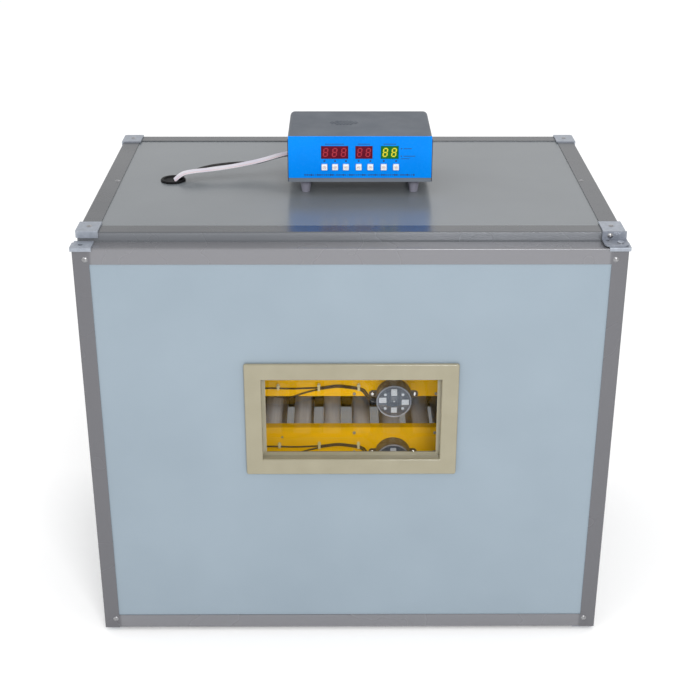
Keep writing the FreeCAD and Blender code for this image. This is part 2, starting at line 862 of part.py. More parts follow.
def hinge_plates():
    """Upper angle plate on the cabinet's front and lower plate under its floor, each holding a pin."""
    wall = size.hinge_wall
    right = half_door
    left = half_door - size.hinge_across
    cap_face = size.cabinet_front - size.cap_wall
    leaf_low = size.door_top + size.cap_wall + size.body_gap
    leaf_top = leaf_low + wall
    leaf = box("upper_hinge_leaf", (left, size.door_front, leaf_low), (right, cap_face, leaf_top))
    tab_top = size.cabinet_top + wall
    tab = box("upper_hinge_tab", (left, cap_face - wall, leaf_low), (right, cap_face, tab_top))
    bore = cylinder("upper_hinge_bore", pin_hole, (pivot_x, pivot_y, leaf_low - 1), wall + 2)
    fixing = cylinder("upper_hinge_fixing", size.pin_radius * 0.7, (left + 6, cap_face - 8, leaf_low - 1),
                      wall + 2)
    blank = cut("upper_hinge_blank", fuse("upper_hinge_angle", leaf, tab), bore, fixing)
    upper = rounded("upper_hinge_plate", blank, 7,
                    lambda reach: lies(reach, "Y", size.door_front) and runs_along(reach, "Z"))
    low = size.cabinet_bottom - wall
    strap_back = size.cabinet_front + 54
    strap_front = size.door_front + size.strap_inset
    strap = box("lower_hinge_strap", (left, strap_front, low), (right, strap_back, size.cabinet_bottom))
    hole = cylinder("lower_hinge_bore", pin_hole, (pivot_x, pivot_y, low - 1), wall + 2)
    node(group("hinge_plates", [upper, cut("lower_hinge_plate", strap, hole)]))


def hinge_pins():
    """Pins fixed in the door: the upper one headed over its plate, the lower one shouldered on its plate."""
    head_low = size.door_top + size.cap_wall + size.hinge_wall + size.body_gap * 2
    upper_low = size.door_top - size.pin_depth
    upper = fuse("upper_hinge_pin",
                 cylinder("upper_pin_shaft", size.pin_radius, (pivot_x, pivot_y, upper_low),
                          head_low - upper_low),
                 cylinder("upper_pin_head", size.pin_head, (pivot_x, pivot_y, head_low), 1.2))
    lower_low = size.cabinet_bottom - size.hinge_wall
    shoulder_low = size.cabinet_bottom + size.body_gap
    lower_length = size.door_bottom + size.pin_depth - lower_low
    lower = fuse("lower_hinge_pin",
                 cylinder("lower_pin_shaft", size.pin_radius, (pivot_x, pivot_y, lower_low), lower_length),
                 cylinder("lower_pin_shoulder", size.pin_radius * 2, (pivot_x, pivot_y, shoulder_low),
                          size.door_bottom - shoulder_low))
    node(group("hinge_pins", [upper, lower]))


# ---- egg trays -------------------------------------------------------------------------------------

motor_x = size.roller_first + size.roller_pitch * DRIVEN_ROLLER


def tray_base(level):
    return size.tray_first + size.tray_pitch * level


def rail(name, level, web, inward):
    """Rail with a top flange and a bearing strip behind its web; inward is +1 on the front rail."""
    body = new_body(name)
    low = tray_base(level)
    high = low + size.rail_tall
    wall = size.rail_wall
    edge = web + size.rail_flange * inward
    strip = web + wall * inward
    inner = strip + size.bearing_strip * inward
    section = [(web, low), (inner, low), (inner, high - wall), (edge, high - wall), (edge, high), (web, high)]
    extrude(body, "Pad", "YZ_Plane", size.tray_left, size.tray_right, [section])
    axis_z = low + size.roller_rise
    bore = size.shaft_radius + size.running_gap
    near, far = sorted((strip, inner), key=float)
    drilled = extrude(body, "Pocket", "XZ_Plane", near, far, [], [(size.roller_first, axis_z, bore)])
    repeat_along_x(body, drilled, size.roller_pitch, ROLLERS)
    if inward > 0:
        extrude(body, "Pocket", "XZ_Plane", web, strip, [], [(motor_x, axis_z, bore)])
    return body


def tray_frames():
    """Each tray: a front and a rear rail, and an end plate between them at both ends."""
    pieces = []
    wall = size.rail_wall
    for level in range(TRAYS):
        low = tray_base(level)
        high = low + size.rail_tall - wall
        pieces.append(rail(f"front_rail_{level + 1}", level, size.tray_front, 1))
        pieces.append(rail(f"rear_rail_{level + 1}", level, size.tray_back, -1))
        for side, (outer, inner) in {"left": (size.tray_left, size.tray_left + wall),
                                     "right": (size.tray_right, size.tray_right - wall)}.items():
            pieces.append(box(f"{side}_end_plate_{level + 1}", (outer, size.tray_front + wall, low),
                              (inner, size.tray_back - wall, high)))
    node(group("tray_frames", pieces))


def roller(name, level, place_in_row):
    """Plugged pipe on a shaft, with its pulley in the front rail; the driven one reaches into the motor."""
    body = new_body(name)
    driven = place_in_row == DRIVEN_ROLLER
    shaft_in = size.rail_wall + size.shaft_clear
    front = size.tray_front - size.drive_end if driven else size.tray_front + shaft_in
    back = size.tray_back - shaft_in
    pipe_front = size.tray_front + size.rail_flange + size.roller_gap
    pipe_back = size.tray_back - size.rail_flange - size.roller_gap
    pulley_back = pipe_front - 3
    pulley_front = pulley_back - size.pulley_across
    bore = size.roller_radius - size.roller_wall
    shaft = size.shaft_radius
    revolve(body, [
        (0, front), (shaft, front), (shaft, pulley_front),
        (size.pulley_radius, pulley_front), (size.pulley_radius, pulley_back), (shaft, pulley_back),
        (shaft, pipe_front), (size.roller_radius, pipe_front),
        (size.roller_radius, pipe_back), (shaft, pipe_back), (shaft, back), (0, back),
        (0, pipe_back - size.roller_plug), (bore, pipe_back - size.roller_plug),
        (bore, pipe_front + size.roller_plug), (0, pipe_front + size.roller_plug),
    ])
    body.Placement = Placement(Vector(0, 0, 0), Rotation(Vector(1, 0, 0), -90))
    axis_x = size.roller_first + size.roller_pitch * place_in_row
    place(body, (axis_x, 0, tray_base(level) + size.roller_rise))
    return body


def rollers():
    """The rollers of one tray are sub-parts of their own; those of the other trays share one."""
    fixed = []
    for level in range(TRAYS):
        for place_in_row in range(ROLLERS):
            if level == TURNING_TRAY:
                node(roller(f"egg_roller_{place_in_row + 1:02d}", level, place_in_row))
            else:
                fixed.append(roller(f"tray_{level + 1}_roller_{place_in_row + 1}", level, place_in_row))
    node(group("fixed_rollers", fixed))


def belt_outline(name, radius, front, across, level):
    """Flat-sided loop round the first and the last roller's axes."""
    axis_z = tray_base(level) + size.roller_rise
    first = size.roller_first
    last = size.roller_first + size.roller_pitch * (ROLLERS - 1)
    middle = box(f"{name}_run", (first, front, axis_z - radius), (last, front + across, axis_z + radius))
    bends = [cylinder(f"{name}_bend_{end}", radius, (x, front, axis_z), across, (0, 1, 0))
             for end, x in {"left": first, "right": last}.items()]
    return fuse(name, middle, *bends)


def drive_belts():
    """Smooth belt of each tray, just clear of the pulleys between its two runs."""
    belts = []
    inner = size.pulley_radius + size.belt_gap
    pulley_back = size.tray_front + size.rail_flange + size.roller_gap - 3
    front = pulley_back - size.pulley_across / 2 - size.belt_across / 2
    for level in range(TRAYS):
        outer_loop = belt_outline(f"belt_{level + 1}_outside", inner + size.belt_thick, front,
                                  size.belt_across, level)
        inner_loop = belt_outline(f"belt_{level + 1}_inside", inner, front - 1, size.belt_across + 2, level)
        belts.append(cut(f"belt_{level + 1}", outer_loop, inner_loop))
    node(group("drive_belts", belts))


def turning_motor(name, level):
    """Round synchronous motor on a rail, its ears on the web and its output bore off centre."""
    base = tray_base(level)
    back = size.tray_front
    centre_z = base + size.motor_rise
    ear_z = base + size.ear_rise
    ear_front = back - size.ear_thick
    can = cylinder(f"{name}_can", size.motor_radius, (motor_x, back - size.motor_deep, centre_z),
                   size.motor_deep, (0, 1, 0))
    softened = rounded(f"{name}_rim", can, 1.2, lambda reach: lies(reach, "Y", back - size.motor_deep))
    strap = box(f"{name}_strap", (motor_x - size.ear_reach, ear_front, ear_z - size.ear_radius),
                (motor_x + size.ear_reach, back, ear_z + size.ear_radius))
    ears = []
    for side, way in {"left": -1, "right": 1}.items():
        spot = (motor_x + size.ear_reach * way, ear_front, ear_z)
        ears.append(cylinder(f"{name}_{side}_ear", size.ear_radius, spot, size.ear_thick, (0, 1, 0)))
    shaft_spot = (motor_x, back - size.drive_end - 1, base + size.roller_rise)
    bore = cylinder(f"{name}_bore", size.shaft_radius + size.running_gap, shaft_spot, size.drive_end + 2,
                    (0, 1, 0))
    return cut(name, fuse(f"{name}_body", softened, strap, *ears), bore)


def turning_motors():
    node(group("turning_motors", [turning_motor(f"motor_{level + 1}", level) for level in range(TRAYS)]))


def motor_leads():
    """Two leads from each motor, tied along its rail, and the loom they join up to the grommet."""
    loom_x = float(size.loom_x)
    loom_y = float(size.loom_y)
    radius = float(size.lead_radius)
    on_rail = float(size.tray_front) - radius - 0.15
    ceiling = float(inside_top)
    high = ceiling - 14
    lowest = float(tray_base(0)) - 12
    loom = [(loom_x, loom_y, lowest), (loom_x, loom_y, high), (loom_x, float(size.grommet_y) - 6, high),
            (float(size.grommet_x), float(size.grommet_y), high),
            (float(size.grommet_x), float(size.grommet_y), ceiling)]
    solids = [tube(loom, size.loom_radius, 0.3)]
    can_edge = float(motor_x) - 24.2
    # (x, height above the rail's foot, distance behind the rail's face): one lead stays on the rail,
    # the other drops and runs on behind its foot
    upper = [(can_edge, -6, -2), (26, 0, 0), (20, 10, 0), (12, 13.4, 0), (-16, 17.6, 0), (-43, 13.4, 0),
             (-77, 11.8, 0), (-110, 13, 0), (-160, 11, 0), (-215, 13, 0), (-262, 11, 0),
             (loom_x + 3, 12, -3.8)]
    lower = [(can_edge, -9, -2), (23.5, -1, 0), (17.5, 8, 0), (11, 11.1, 0), (-16, 15.2, 0), (-43, 11, 0),
             (-62, 6, 0), (-82, -1.6, 0), (-97, -4.2, 5), (-118, -2.5, 10), (-165, -3.2, 10),
             (-215, -2.5, 10), (-245, -3.5, 8), (-270, -6, 0), (loom_x + 3, -7, -3.8)]
    for level in range(TRAYS):
        base = float(tray_base(level))
        for route in (upper, lower):
            points = [(x, on_rail + behind, base + rise) for x, rise, behind in route]
            solids.append(tube(points, radius, 0.3))
    shape_node("motor_leads", Part.Compound(solids))


def tray_runners():
    """Angle runners on the side walls that the tray rails rest on."""
    pieces = []
    wall = size.runner_wall
    for level in range(TRAYS):
        top = tray_base(level)
        for side, (way, tray_end) in {"left": (-1, size.tray_left), "right": (1, size.tray_right)}.items():
            panel = inside_x * way
            front = size.tray_front + 2
            back = size.tray_back - 2
            shelf = (panel, front, top), (tray_end - size.runner_reach * way, back, top - wall)
            web = (panel, front, top - wall), (panel - wall * way, back, top - size.runner_tall)
            pieces.append(angle_profile(f"{side}_runner_{level + 1}", shelf, web))
    node(group("tray_runners", pieces))


# ---- fittings inside the cabinet -------------------------------------------------------------------

def water_tray():
    """Loose pan on the floor with a rolled rim."""
    pan = new_body("water_tray")
    low = inside_bottom + size.body_gap
    high = low + size.pan_tall
    half_width = size.pan_width / 2
    front = size.pan_y - size.pan_deep / 2
    back = size.pan_y + size.pan_deep / 2
    wall = size.pan_wall
    rim = size.pan_rim
    extrude(pan, "Pad", "XY_Plane", low, high, [rectangle(-half_width, front, half_width, back)])
    extrude(pan, "Pad", "XY_Plane", high - wall, high,
            [rectangle(-half_width - rim, front - rim, half_width + rim, back + rim)])
    extrude(pan, "Pocket", "XY_Plane", low + wall, high,
            [rectangle(wall - half_width, front + wall, half_width - wall, back - wall)])
    soften(pan, size.pan_corner - wall, lambda reach: runs_along(reach, "Z") and reach.ZMin > float(low) + 1
           and abs(reach.XMin) < float(half_width))
    soften(pan, size.pan_corner, lambda reach: runs_along(reach, "Z") and reach.ZMin < float(low) + 1)
    soften(pan, size.pan_corner + rim, lambda reach: runs_along(reach, "Z")
           and abs(reach.XMin) > float(half_width) + 1)
    node(pan)


def heater_tube():
    """Straight heating rod between the side walls, with a gland at each end."""
    pieces = [cylinder("heater_rod", size.heater_radius, (-inside_x, size.heater_y, size.heater_z),
                       inside_x * 2, (1, 0, 0))]
    for side, start in {"left": -inside_x, "right": inside_x - size.gland_deep}.items():
        spot = (start, size.heater_y, size.heater_z)
        pieces.append(cylinder(f"heater_{side}_gland", size.gland_radius, spot, size.gland_deep, (1, 0, 0)))
    node(fuse("heater_tube", *pieces))


fan_back = size.fan_front + size.fan_deep


def fan_frame():
    """Square fan frame on four stand-offs, with struts to the boss that carries the shaft."""
    half = size.fan_across / 2
    plate = box("fan_plate", (-half, size.fan_front, size.fan_z - half), (half, fan_back, size.fan_z + half))
    duct = cylinder("fan_duct", size.fan_bore, (0, size.fan_front - 1, size.fan_z), size.fan_deep + 2,
                    (0, 1, 0))
    ring = cut("fan_ring", plate, duct)
    strut_front = fan_back - size.fan_strut_deep
    long = size.fan_bore + 1
    thin = size.fan_strut / 2
    upright = box("fan_upright_strut", (-thin, strut_front, size.fan_z - long),
                  (thin, fan_back, size.fan_z + long))
    level = box("fan_level_strut", (-long, strut_front, size.fan_z - thin),
                (long, fan_back, size.fan_z + thin))
    boss = cylinder("fan_boss", size.fan_boss, (0, strut_front, size.fan_z), size.fan_strut_deep, (0, 1, 0))
    away = half - size.fan_standoff_inset
    standoffs = []
    for column in (-1, 1):
        for row in (-1, 1):
            spot = (away * column, fan_back, size.fan_z + away * row)
            standoffs.append(cylinder(f"fan_standoff_{column}_{row}", size.fan_standoff, spot,
                                      inside_back - fan_back, (0, 1, 0)))
    bore = cylinder("fan_bearing", size.fan_shaft + size.running_gap, (0, strut_front - 1, size.fan_z),
                    size.fan_strut_deep + 2, (0, 1, 0))
    node(cut("fan_frame", fuse("fan_casting", ring, upright, level, boss, *standoffs), bore))


def fan_blades():
    """Impeller: hub, shaft and a ring of slanted blades."""
    wheel = new_body("fan_blades")
    hub_front = size.fan_front + size.hub_inset
    hub_back = hub_front + size.hub_deep
    extrude(wheel, "Pad", "XZ_Plane", hub_front, hub_back, [], [(0, 0, size.hub_radius)])
    extrude(wheel, "Pad", "XZ_Plane", hub_back, fan_back - 1, [], [(0, 0, size.fan_shaft)])
    thick = size.blade_thick
    lean = size.blade_lean
    section = [(hub_front + 1, lean), (hub_front + 1 + thick, lean),
               (hub_back - 1, -lean), (hub_back - 1 - thick, -lean)]
    blade = extrude(wheel, "Pad", "YZ_Plane", size.hub_radius - 4, size.blade_tip, [section])
    ring = wheel.newObject("PartDesign::PolarPattern", "fan_blade_ring")
    ring.Originals = [blade]
    ring.Axis = (next(line for line in wheel.Origin.OriginFeatures if line.Role == "Y_Axis"), [""])
    ring.Angle = 360
    ring.Occurrences = int(size.blade_count.value)
    wheel.Tip = ring
    place(wheel, (0, 0, size.fan_z))
    node(wheel)


def sensor_probe():
    """Temperature and humidity probe hanging from the ceiling."""
    spot_x = size.probe_x
    spot_y = size.probe_y
    tip = inside_top - size.probe_drop
    gland = cylinder("probe_gland", size.probe_radius + 2.5, (spot_x, spot_y, inside_top - 6), 6)
    rod = cylinder("probe_rod", size.probe_radius / 2, (spot_x, spot_y, tip + 10), size.probe_drop - 16)
    head = cylinder("probe_head", size.probe_radius, (spot_x, spot_y, tip), 24)
    node(fuse("sensor_probe", gland, rod, head))


# ---- controller ------------------------------------------------------------------------------------

half_box = size.box_width / 2
box_left = size.box_x - half_box
box_right = size.box_x + half_box
face_back = size.box_front + size.face_thick
wall_back = face_back + size.box_wall
face_left = box_left + size.face_inset
face_right = box_right - size.face_inset
base_left = box_left + size.box_wall + 0.1
base_right = box_right - size.box_wall - 0.1


def front_cutouts():
    """Openings for the displays and the buttons, shared by the printed face and the wall behind it."""
    clear = size.body_gap
    low = size.display_bottom - clear
    high = size.display_top + clear
    holes = [rectangle(left - clear, low, right + clear, high) for left, right in DISPLAYS]
    wide = size.button_width + clear * 2
    tall = size.button_tall + clear * 2
    return holes + [centred(middle, size.button_z, wide, tall) for middle in BUTTONS]


def controller_cover():
    """Bent cover: top and two sides, vent holes in the top and a cable slot in the left side."""
    cover = new_body("controller_cover")
    wall = size.box_wall
    outline = rectangle(box_left, size.box_bottom, box_right, size.box_top)
    extrude(cover, "Pad", "XZ_Plane", face_back, size.box_back, [outline])
    room = rectangle(box_left + wall, size.box_bottom, box_right - wall, size.box_top - wall)
    extrude(cover, "Pocket", "XZ_Plane", face_back, size.box_back, [room])
    soften(cover, size.box_bend - wall,
           lambda reach: runs_along(reach, "Y") and lies(reach, "Z", size.box_top - wall))
    soften(cover, size.box_bend, lambda reach: runs_along(reach, "Y") and lies(reach, "Z", size.box_top))
    slot_low = size.box_bottom + size.slot_rise
    slot = rectangle(size.slot_front, slot_low, size.slot_back, slot_low + size.slot_tall)
    extrude(cover, "Pocket", "YZ_Plane", box_left, box_left + wall * 2, [slot])
    for row, count in enumerate(VENT_ROWS):
        first = (size.vent_x - size.vent_pitch * (count - 1) / 2, size.vent_y + size.vent_pitch * row,
                 size.vent_radius)
        hole = extrude(cover, "Pocket", "XY_Plane", size.box_top - wall * 2, size.box_top, [], [first])
        repeat_along_x(cover, hole, size.vent_pitch, count)
    node(cover)


def controller_base():
    """Floor with a lip under the face, and front and back walls standing inside the cover."""
    base = new_body("controller_base")
    wall = size.box_wall
    low = size.box_bottom
    floor = rectangle(base_left, face_back, base_right, size.box_back)
    extrude(base, "Pad", "XY_Plane", low, low + wall, [floor])
    lip = rectangle(face_left, low, face_right, size.face_bottom - 0.3)
    extrude(base, "Pad", "XZ_Plane", size.box_front, face_back, [lip])
    face = rectangle(base_left, low, base_right, size.wall_top)
    extrude(base, "Pad", "XZ_Plane", face_back, wall_back, [face])
    extrude(base, "Pad", "XZ_Plane", size.box_back - wall, size.box_back, [face])
    extrude(base, "Pocket", "XZ_Plane", face_back, wall_back, front_cutouts())
    inlet = centred(size.inlet_x, size.inlet_z, size.inlet_width - size.inlet_lip * 3 + 1,
                    size.inlet_tall - size.inlet_lip * 2 + 1)
    extrude(base, "Pocket", "XZ_Plane", size.box_back - wall, size.box_back, [inlet])
    node(base)


def controller_panel():
    """Printed face plate in front of the base's front wall."""
    panel = new_body("controller_panel")
    outline = rectangle(face_left, size.face_bottom, face_right, size.box_top)
    extrude(panel, "Pad", "XZ_Plane", size.box_front, face_back, [outline] + front_cutouts())
    node(panel)


def display_modules():
    front = size.box_front + size.display_recess
    modules = []
    for count, (left, right) in enumerate(DISPLAYS, start=1):
        modules.append(box(f"display_{count}", (left, front, size.display_bottom),
                           (right, size.board_front, size.display_top)))
    node(group("display_modules", modules))


def buttons():
    """Seven keys, each with a retaining flange behind the wall and a stem that meets its switch."""
    flange_front = wall_back + 0.4
    flange_back = flange_front + 0.8
    edge = size.button_flange * 2
    front = size.box_front - size.button_proud
    for count, middle in enumerate(BUTTONS, start=1):
        key = new_body(f"button_{count}")
        extrude(key, "Pad", "XZ_Plane", front, flange_front,
                [centred(middle, size.button_z, size.button_width, size.button_tall)])
        soften(key, 1, lambda reach: lies(reach, "Y", front) or runs_along(reach, "Y"))
        extrude(key, "Pad", "XZ_Plane", flange_front, flange_back,
                [centred(middle, size.button_z, size.button_width + edge, size.button_tall + edge)])
        extrude(key, "Pad", "XZ_Plane", flange_back, flange_back + 0.4, [], [(middle, size.button_z, 1.6)])
        node(key)


def circuit_board():
    """Board behind the displays with its key switches, stand-offs and relays."""
    front = size.board_front
    back = front + size.board_thick
    half_switch = size.switch_across / 2
    pieces = [box("board", (size.board_left, front, size.board_low),
                  (size.board_right, back, size.board_high))]
    for count, middle in enumerate(BUTTONS, start=1):
        low = (middle - half_switch, front - size.switch_tall, size.button_z - half_switch)
        high = (middle + half_switch, front, size.button_z + half_switch)
        pieces.append(box(f"key_switch_{count}", low, high))
    inset = size.standoff_inset
    for side, x in {"left": size.board_left + inset, "right": size.board_right - inset}.items():
        for level, z in {"low": size.board_low + inset, "high": size.board_high - inset}.items():
            pieces.append(cylinder(f"{side}_{level}_standoff", size.standoff_radius, (x, wall_back, z),
                                   front - wall_back, (0, 1, 0)))
    for count in range(3):
        x = size.relay_first + size.relay_pitch * count
        pieces.append(box(f"relay_{count + 1}", (x, back, size.relay_low),
                          (x + size.relay_width, back + size.relay_deep, size.relay_low + size.relay_tall)))
    node(group("circuit_board", pieces))


def controller_feet():
    feet = []
    for side, way in {"left": -1, "right": 1}.items():
        for end, y in {"front": size.box_front + size.box_foot_inset,
                       "back": size.box_back - size.box_foot_inset}.items():
            foot = doc.addObject("Part::Cone", f"{end}_{side}_box_foot")
            bind(foot, "Radius1", size.box_foot_base)
            bind(foot, "Radius2", size.box_foot_top)
            bind(foot, "Height", size.box_bottom - skin_top)
            place(foot, (size.box_x + size.box_foot_spread * way, y, skin_top))
            feet.append(foot)
    node(group("controller_feet", feet))


def power_inlet():
    """Mains inlet in the back wall: flange, body and the socket its lead plugs into."""
    inlet = new_body("power_inlet")
    spot = (size.inlet_x, size.inlet_z)
    back = size.box_back
    flange = size.inlet_flange
    wide = size.inlet_width - size.inlet_lip * 3
    tall = size.inlet_tall - size.inlet_lip * 2
    plate = centred(*spot, size.inlet_width, size.inlet_tall)
    socket = centred(*spot, wide - size.inlet_wall, tall - size.inlet_wall * 2)
    extrude(inlet, "Pad", "XZ_Plane", back, back + flange, [plate])
    extrude(inlet, "Pad", "XZ_Plane", back - size.inlet_body, back, [centred(*spot, wide, tall)])
    extrude(inlet, "Pocket", "XZ_Plane", back - size.inlet_socket, back + flange, [socket])
    node(inlet)


# ---- cables on the cabinet top ---------------------------------------------------------------------

# Both cables leave the grommet's dish for the slot in the controller's side, in or beside one upright plane.
# The ribbon's route is (distance along the plane, height), the wire's (distance, offset behind it, height).
CABLE_START = (-247.0, 10.5)
CABLE_END = (-83.3, 52.0)
RIBBON_ROUTE = ((0, 595.0), (9, 603.6), (24, 606.0), (47, 606.6), (72, 608.0), (100, 611.0), (127, 614.9),
                (150, 620.4), (165, 622.8), (177, 623.2))
WIRE_ROUTE = ((7, 4.0, 595.0), (13, 5.0, 600.2), (23, 8.8, 602.0), (33, 11.6, 604.0), (43, 12.0, 607.0),
              (58, 11.8, 609.2), (73, 11.6, 610.0), (88, 11.6, 610.4), (101, 11.4, 610.0), (110, 10.2, 608.8),
              (119, 7.8, 608.6), (132, 5.5, 611.8), (146, 4.5, 615.6), (160, 4.0, 618.2), (177, 4.0, 619.3))


def cable_plane():
    """Unit vector along the cables and the level one across them."""
    along = Vector(CABLE_END[0] - CABLE_START[0], CABLE_END[1] - CABLE_START[1], 0).normalize()
    return along, Vector(-along.y, along.x, 0)


def routed(route):
    """Points in space of a route of (distance along, offset across, height)."""
    along, across = cable_plane()
    start = Vector(CABLE_START[0], CABLE_START[1], 0)
    return [tuple(start + along * distance + across * offset + Vector(0, 0, height))
            for distance, offset, height in route]


def ribbon_edge(offset):
    return routed([(distance, offset, height) for distance, height in RIBBON_ROUTE])


def ribbon_cable():
    """Flat cable: a strip of even thickness along the route, its width level across the plane."""
    along, across = cable_plane()
    width = float(size.ribbon_width)
    thick = float(size.ribbon_thick)
    edge = ribbon_edge(-width / 2)
    path = arc_path(edge)
    start = path.Vertexes[0].Point
    upward = across.cross(Vector(*edge[1]) - start).normalize() * (thick / 2)
    section = Part.makePolygon([start + upward, start - upward, start - upward + across * width,
                                start + upward + across * width, start + upward])
    strip = path.makePipeShell([section], True, False)
    if abs(strip.Volume / (width * thick * path.Length) - 1) > 0.02:
        raise ValueError("the ribbon's volume does not match its section times its length")
    shape_node("ribbon_cable", strip)
    report_route("ribbon_cable", ribbon_edge(0))


def black_wire():
    points = routed(WIRE_ROUTE)
    shape_node("black_wire", tube(points, size.wire_radius))
    report_route("black_wire", points)


def report_route(name, points):
    radii = ", ".join(f"{radius:.0f}" for radius in arc_radii(points))
    print(f"{name}: length {arc_path(points).Length:.1f} mm, arc radii {radii} mm")


def build():
    cabinet_panels()
    cabinet_profiles()
    cabinet_corner_caps()
    cabinet_rivets()
    cabinet_feet()
    cable_grommet()
    door_panel()
    door_profiles()
    door_corner_caps()
    door_rivets()
    door_seal()
    window_frame()
    window_pane()
    hinge_plates()
    hinge_pins()
    tray_frames()
    rollers()
    drive_belts()
    turning_motors()
    motor_leads()
    tray_runners()
    water_tray()
    heater_tube()
    fan_frame()
    fan_blades()
    sensor_probe()
    controller_cover()
    controller_base()
    controller_panel()
    display_modules()
    buttons()
    circuit_board()
    controller_feet()
    power_inlet()
    ribbon_cable()
    black_wire()


def check_and_export():
    """Stop on any failed object or bad shape, then write one STEP file for each sub-part."""
    doc.recompute()
    failed = [item.Name for item in doc.Objects if {"Invalid", "Error"} & set(item.State)]
    if failed:
        raise ValueError(f"failed objects: {failed}")
    for item in nodes:
        if item.Shape.isNull() or not item.Shape.isValid() or item.Shape.Volume <= 0:
            raise ValueError(f"bad shape: {item.Label}")
    os.makedirs("parts", exist_ok=True)
    for item in nodes:
        item.Shape.exportStep(f"parts/{item.Label}.step")
    print(f"{len(nodes)} sub-parts written")


build()
check_and_export()
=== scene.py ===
"""Looks of an egg incubator: camera, light, cables, finishes and the small parts that the frame leaves out.

Lengths are metres, as in the frame. X runs to the object's right, Y to its back and Z up.
"""
import math

import bmesh
import bpy
from mathutils import Matrix, Vector


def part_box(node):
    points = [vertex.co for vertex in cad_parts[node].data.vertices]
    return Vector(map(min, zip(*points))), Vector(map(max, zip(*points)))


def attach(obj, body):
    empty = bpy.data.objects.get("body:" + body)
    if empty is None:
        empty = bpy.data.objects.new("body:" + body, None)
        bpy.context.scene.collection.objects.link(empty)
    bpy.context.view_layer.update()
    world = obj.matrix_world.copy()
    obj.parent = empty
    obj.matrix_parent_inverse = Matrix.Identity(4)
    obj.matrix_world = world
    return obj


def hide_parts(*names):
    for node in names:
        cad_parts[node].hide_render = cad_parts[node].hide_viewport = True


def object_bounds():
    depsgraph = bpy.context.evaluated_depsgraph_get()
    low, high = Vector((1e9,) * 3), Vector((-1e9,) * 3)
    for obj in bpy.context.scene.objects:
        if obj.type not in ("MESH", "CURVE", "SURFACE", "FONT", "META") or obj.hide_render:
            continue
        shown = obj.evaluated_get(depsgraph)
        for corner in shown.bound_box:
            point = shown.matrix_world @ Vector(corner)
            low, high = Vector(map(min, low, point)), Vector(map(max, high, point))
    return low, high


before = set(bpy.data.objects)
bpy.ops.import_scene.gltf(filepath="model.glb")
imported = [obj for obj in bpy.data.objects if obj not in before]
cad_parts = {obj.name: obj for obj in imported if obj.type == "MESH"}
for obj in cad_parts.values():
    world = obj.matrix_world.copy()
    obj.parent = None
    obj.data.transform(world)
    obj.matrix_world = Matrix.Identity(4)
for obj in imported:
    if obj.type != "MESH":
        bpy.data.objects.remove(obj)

scene = bpy.context.scene
cad_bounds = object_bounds()
MM = 0.001
TO_FRONT = Vector((0, -1, 0))
TO_BACK = Vector((0, 1, 0))


# ---- camera and light -----------------------------------------------------------------------------

def add_object(name, data):
    made = bpy.data.objects.new(name, data)
    scene.collection.objects.link(made)
    return made


CAMERA_LENS = 69.0435
CAMERA_SPOT = (-0.01169, -1.80947, 1.17697)
CAMERA_TURNS = (65.059, -0.0933, -0.3566)


def add_camera():
    """Camera in front of the object and above it, looking down at its door; its turns are in degrees."""
    data = bpy.data.cameras.new("camera")
    data.lens = CAMERA_LENS
    eye = add_object("camera", data)
    eye.location = CAMERA_SPOT
    eye.rotation_euler = [math.radians(turn) for turn in CAMERA_TURNS]
    scene.camera = eye


def area_light(name, spot, aim, width, height, power):
    """Soft light at spot that faces aim and doesn't show in front of the camera."""
    data = bpy.data.lights.new(name, "AREA")
    data.shape = "RECTANGLE"
    data.size = width
    data.size_y = height
    data.energy = power
    lamp = add_object(name, data)
    lamp.location = spot
    lamp.rotation_euler = (Vector(aim) - Vector(spot)).to_track_quat("-Z", "Y").to_euler()
    lamp.visible_camera = False


def add_studio_lights():
    """Key light from the front right, a fill from the front left and a rim light from behind."""
    middle = (cad_bounds[0] + cad_bounds[1]) / 2
    area_light("key", (0.45, -2.3, 1.75), middle, width=0.7, height=0.5, power=25)
    area_light("fill", (-2.0, -2.0, 2.4), middle, width=1.6, height=1.6, power=8)
    area_light("rim", (0.6, 2.4, 2.4), middle, width=1.6, height=1.6, power=4)


def add_back_wall_light():
    """Strip below the trays that lights the cabinet's back wall."""
    below_trays = 33 * MM
    trays_low, trays_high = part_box("tray_frames")
    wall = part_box("back_panel")[0].y
    spot = Vector((0, (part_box("heater_tube")[1].y + wall) / 2, trays_low.z - below_trays))
    area_light("back_wall_light", spot, spot + TO_BACK, width=trays_high.x - trays_low.x, height=80 * MM,
               power=0.14)


def add_tray_light():
    """Weak light behind the window that shows the trays, a little larger than the pane and set low."""
    behind_seal = 4 * MM
    pane_low, pane_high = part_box("window_pane")
    pane = pane_high - pane_low
    spot = (pane_low + pane_high) / 2 - Vector((0, 0, pane.z * 0.3))
    spot.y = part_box("door_seal")[1].y + behind_seal
    area_light("tray_light", spot, spot + TO_BACK, width=pane.x * 1.1, height=pane.z * 1.1, power=0.03)


def add_world():
    """Even white surroundings and plain display colours."""
    world = bpy.data.worlds.new("studio")
    world.use_nodes = True
    background = world.node_tree.nodes["Background"]
    background.inputs["Color"].default_value = (1, 1, 1, 1)
    background.inputs["Strength"].default_value = 0.92
    scene.world = world
    scene.view_settings.view_transform = "Standard"


add_camera()


# ---- node chains of a finish ----------------------------------------------------------------------

def linear(colour):
    """Shader colour of an everyday 0 to 255 colour."""
    parts = [part / 255 for part in colour]
    return [part / 12.92 if part <= 0.04045 else ((part + 0.055) / 1.055) ** 2.4 for part in parts] + [1.0]


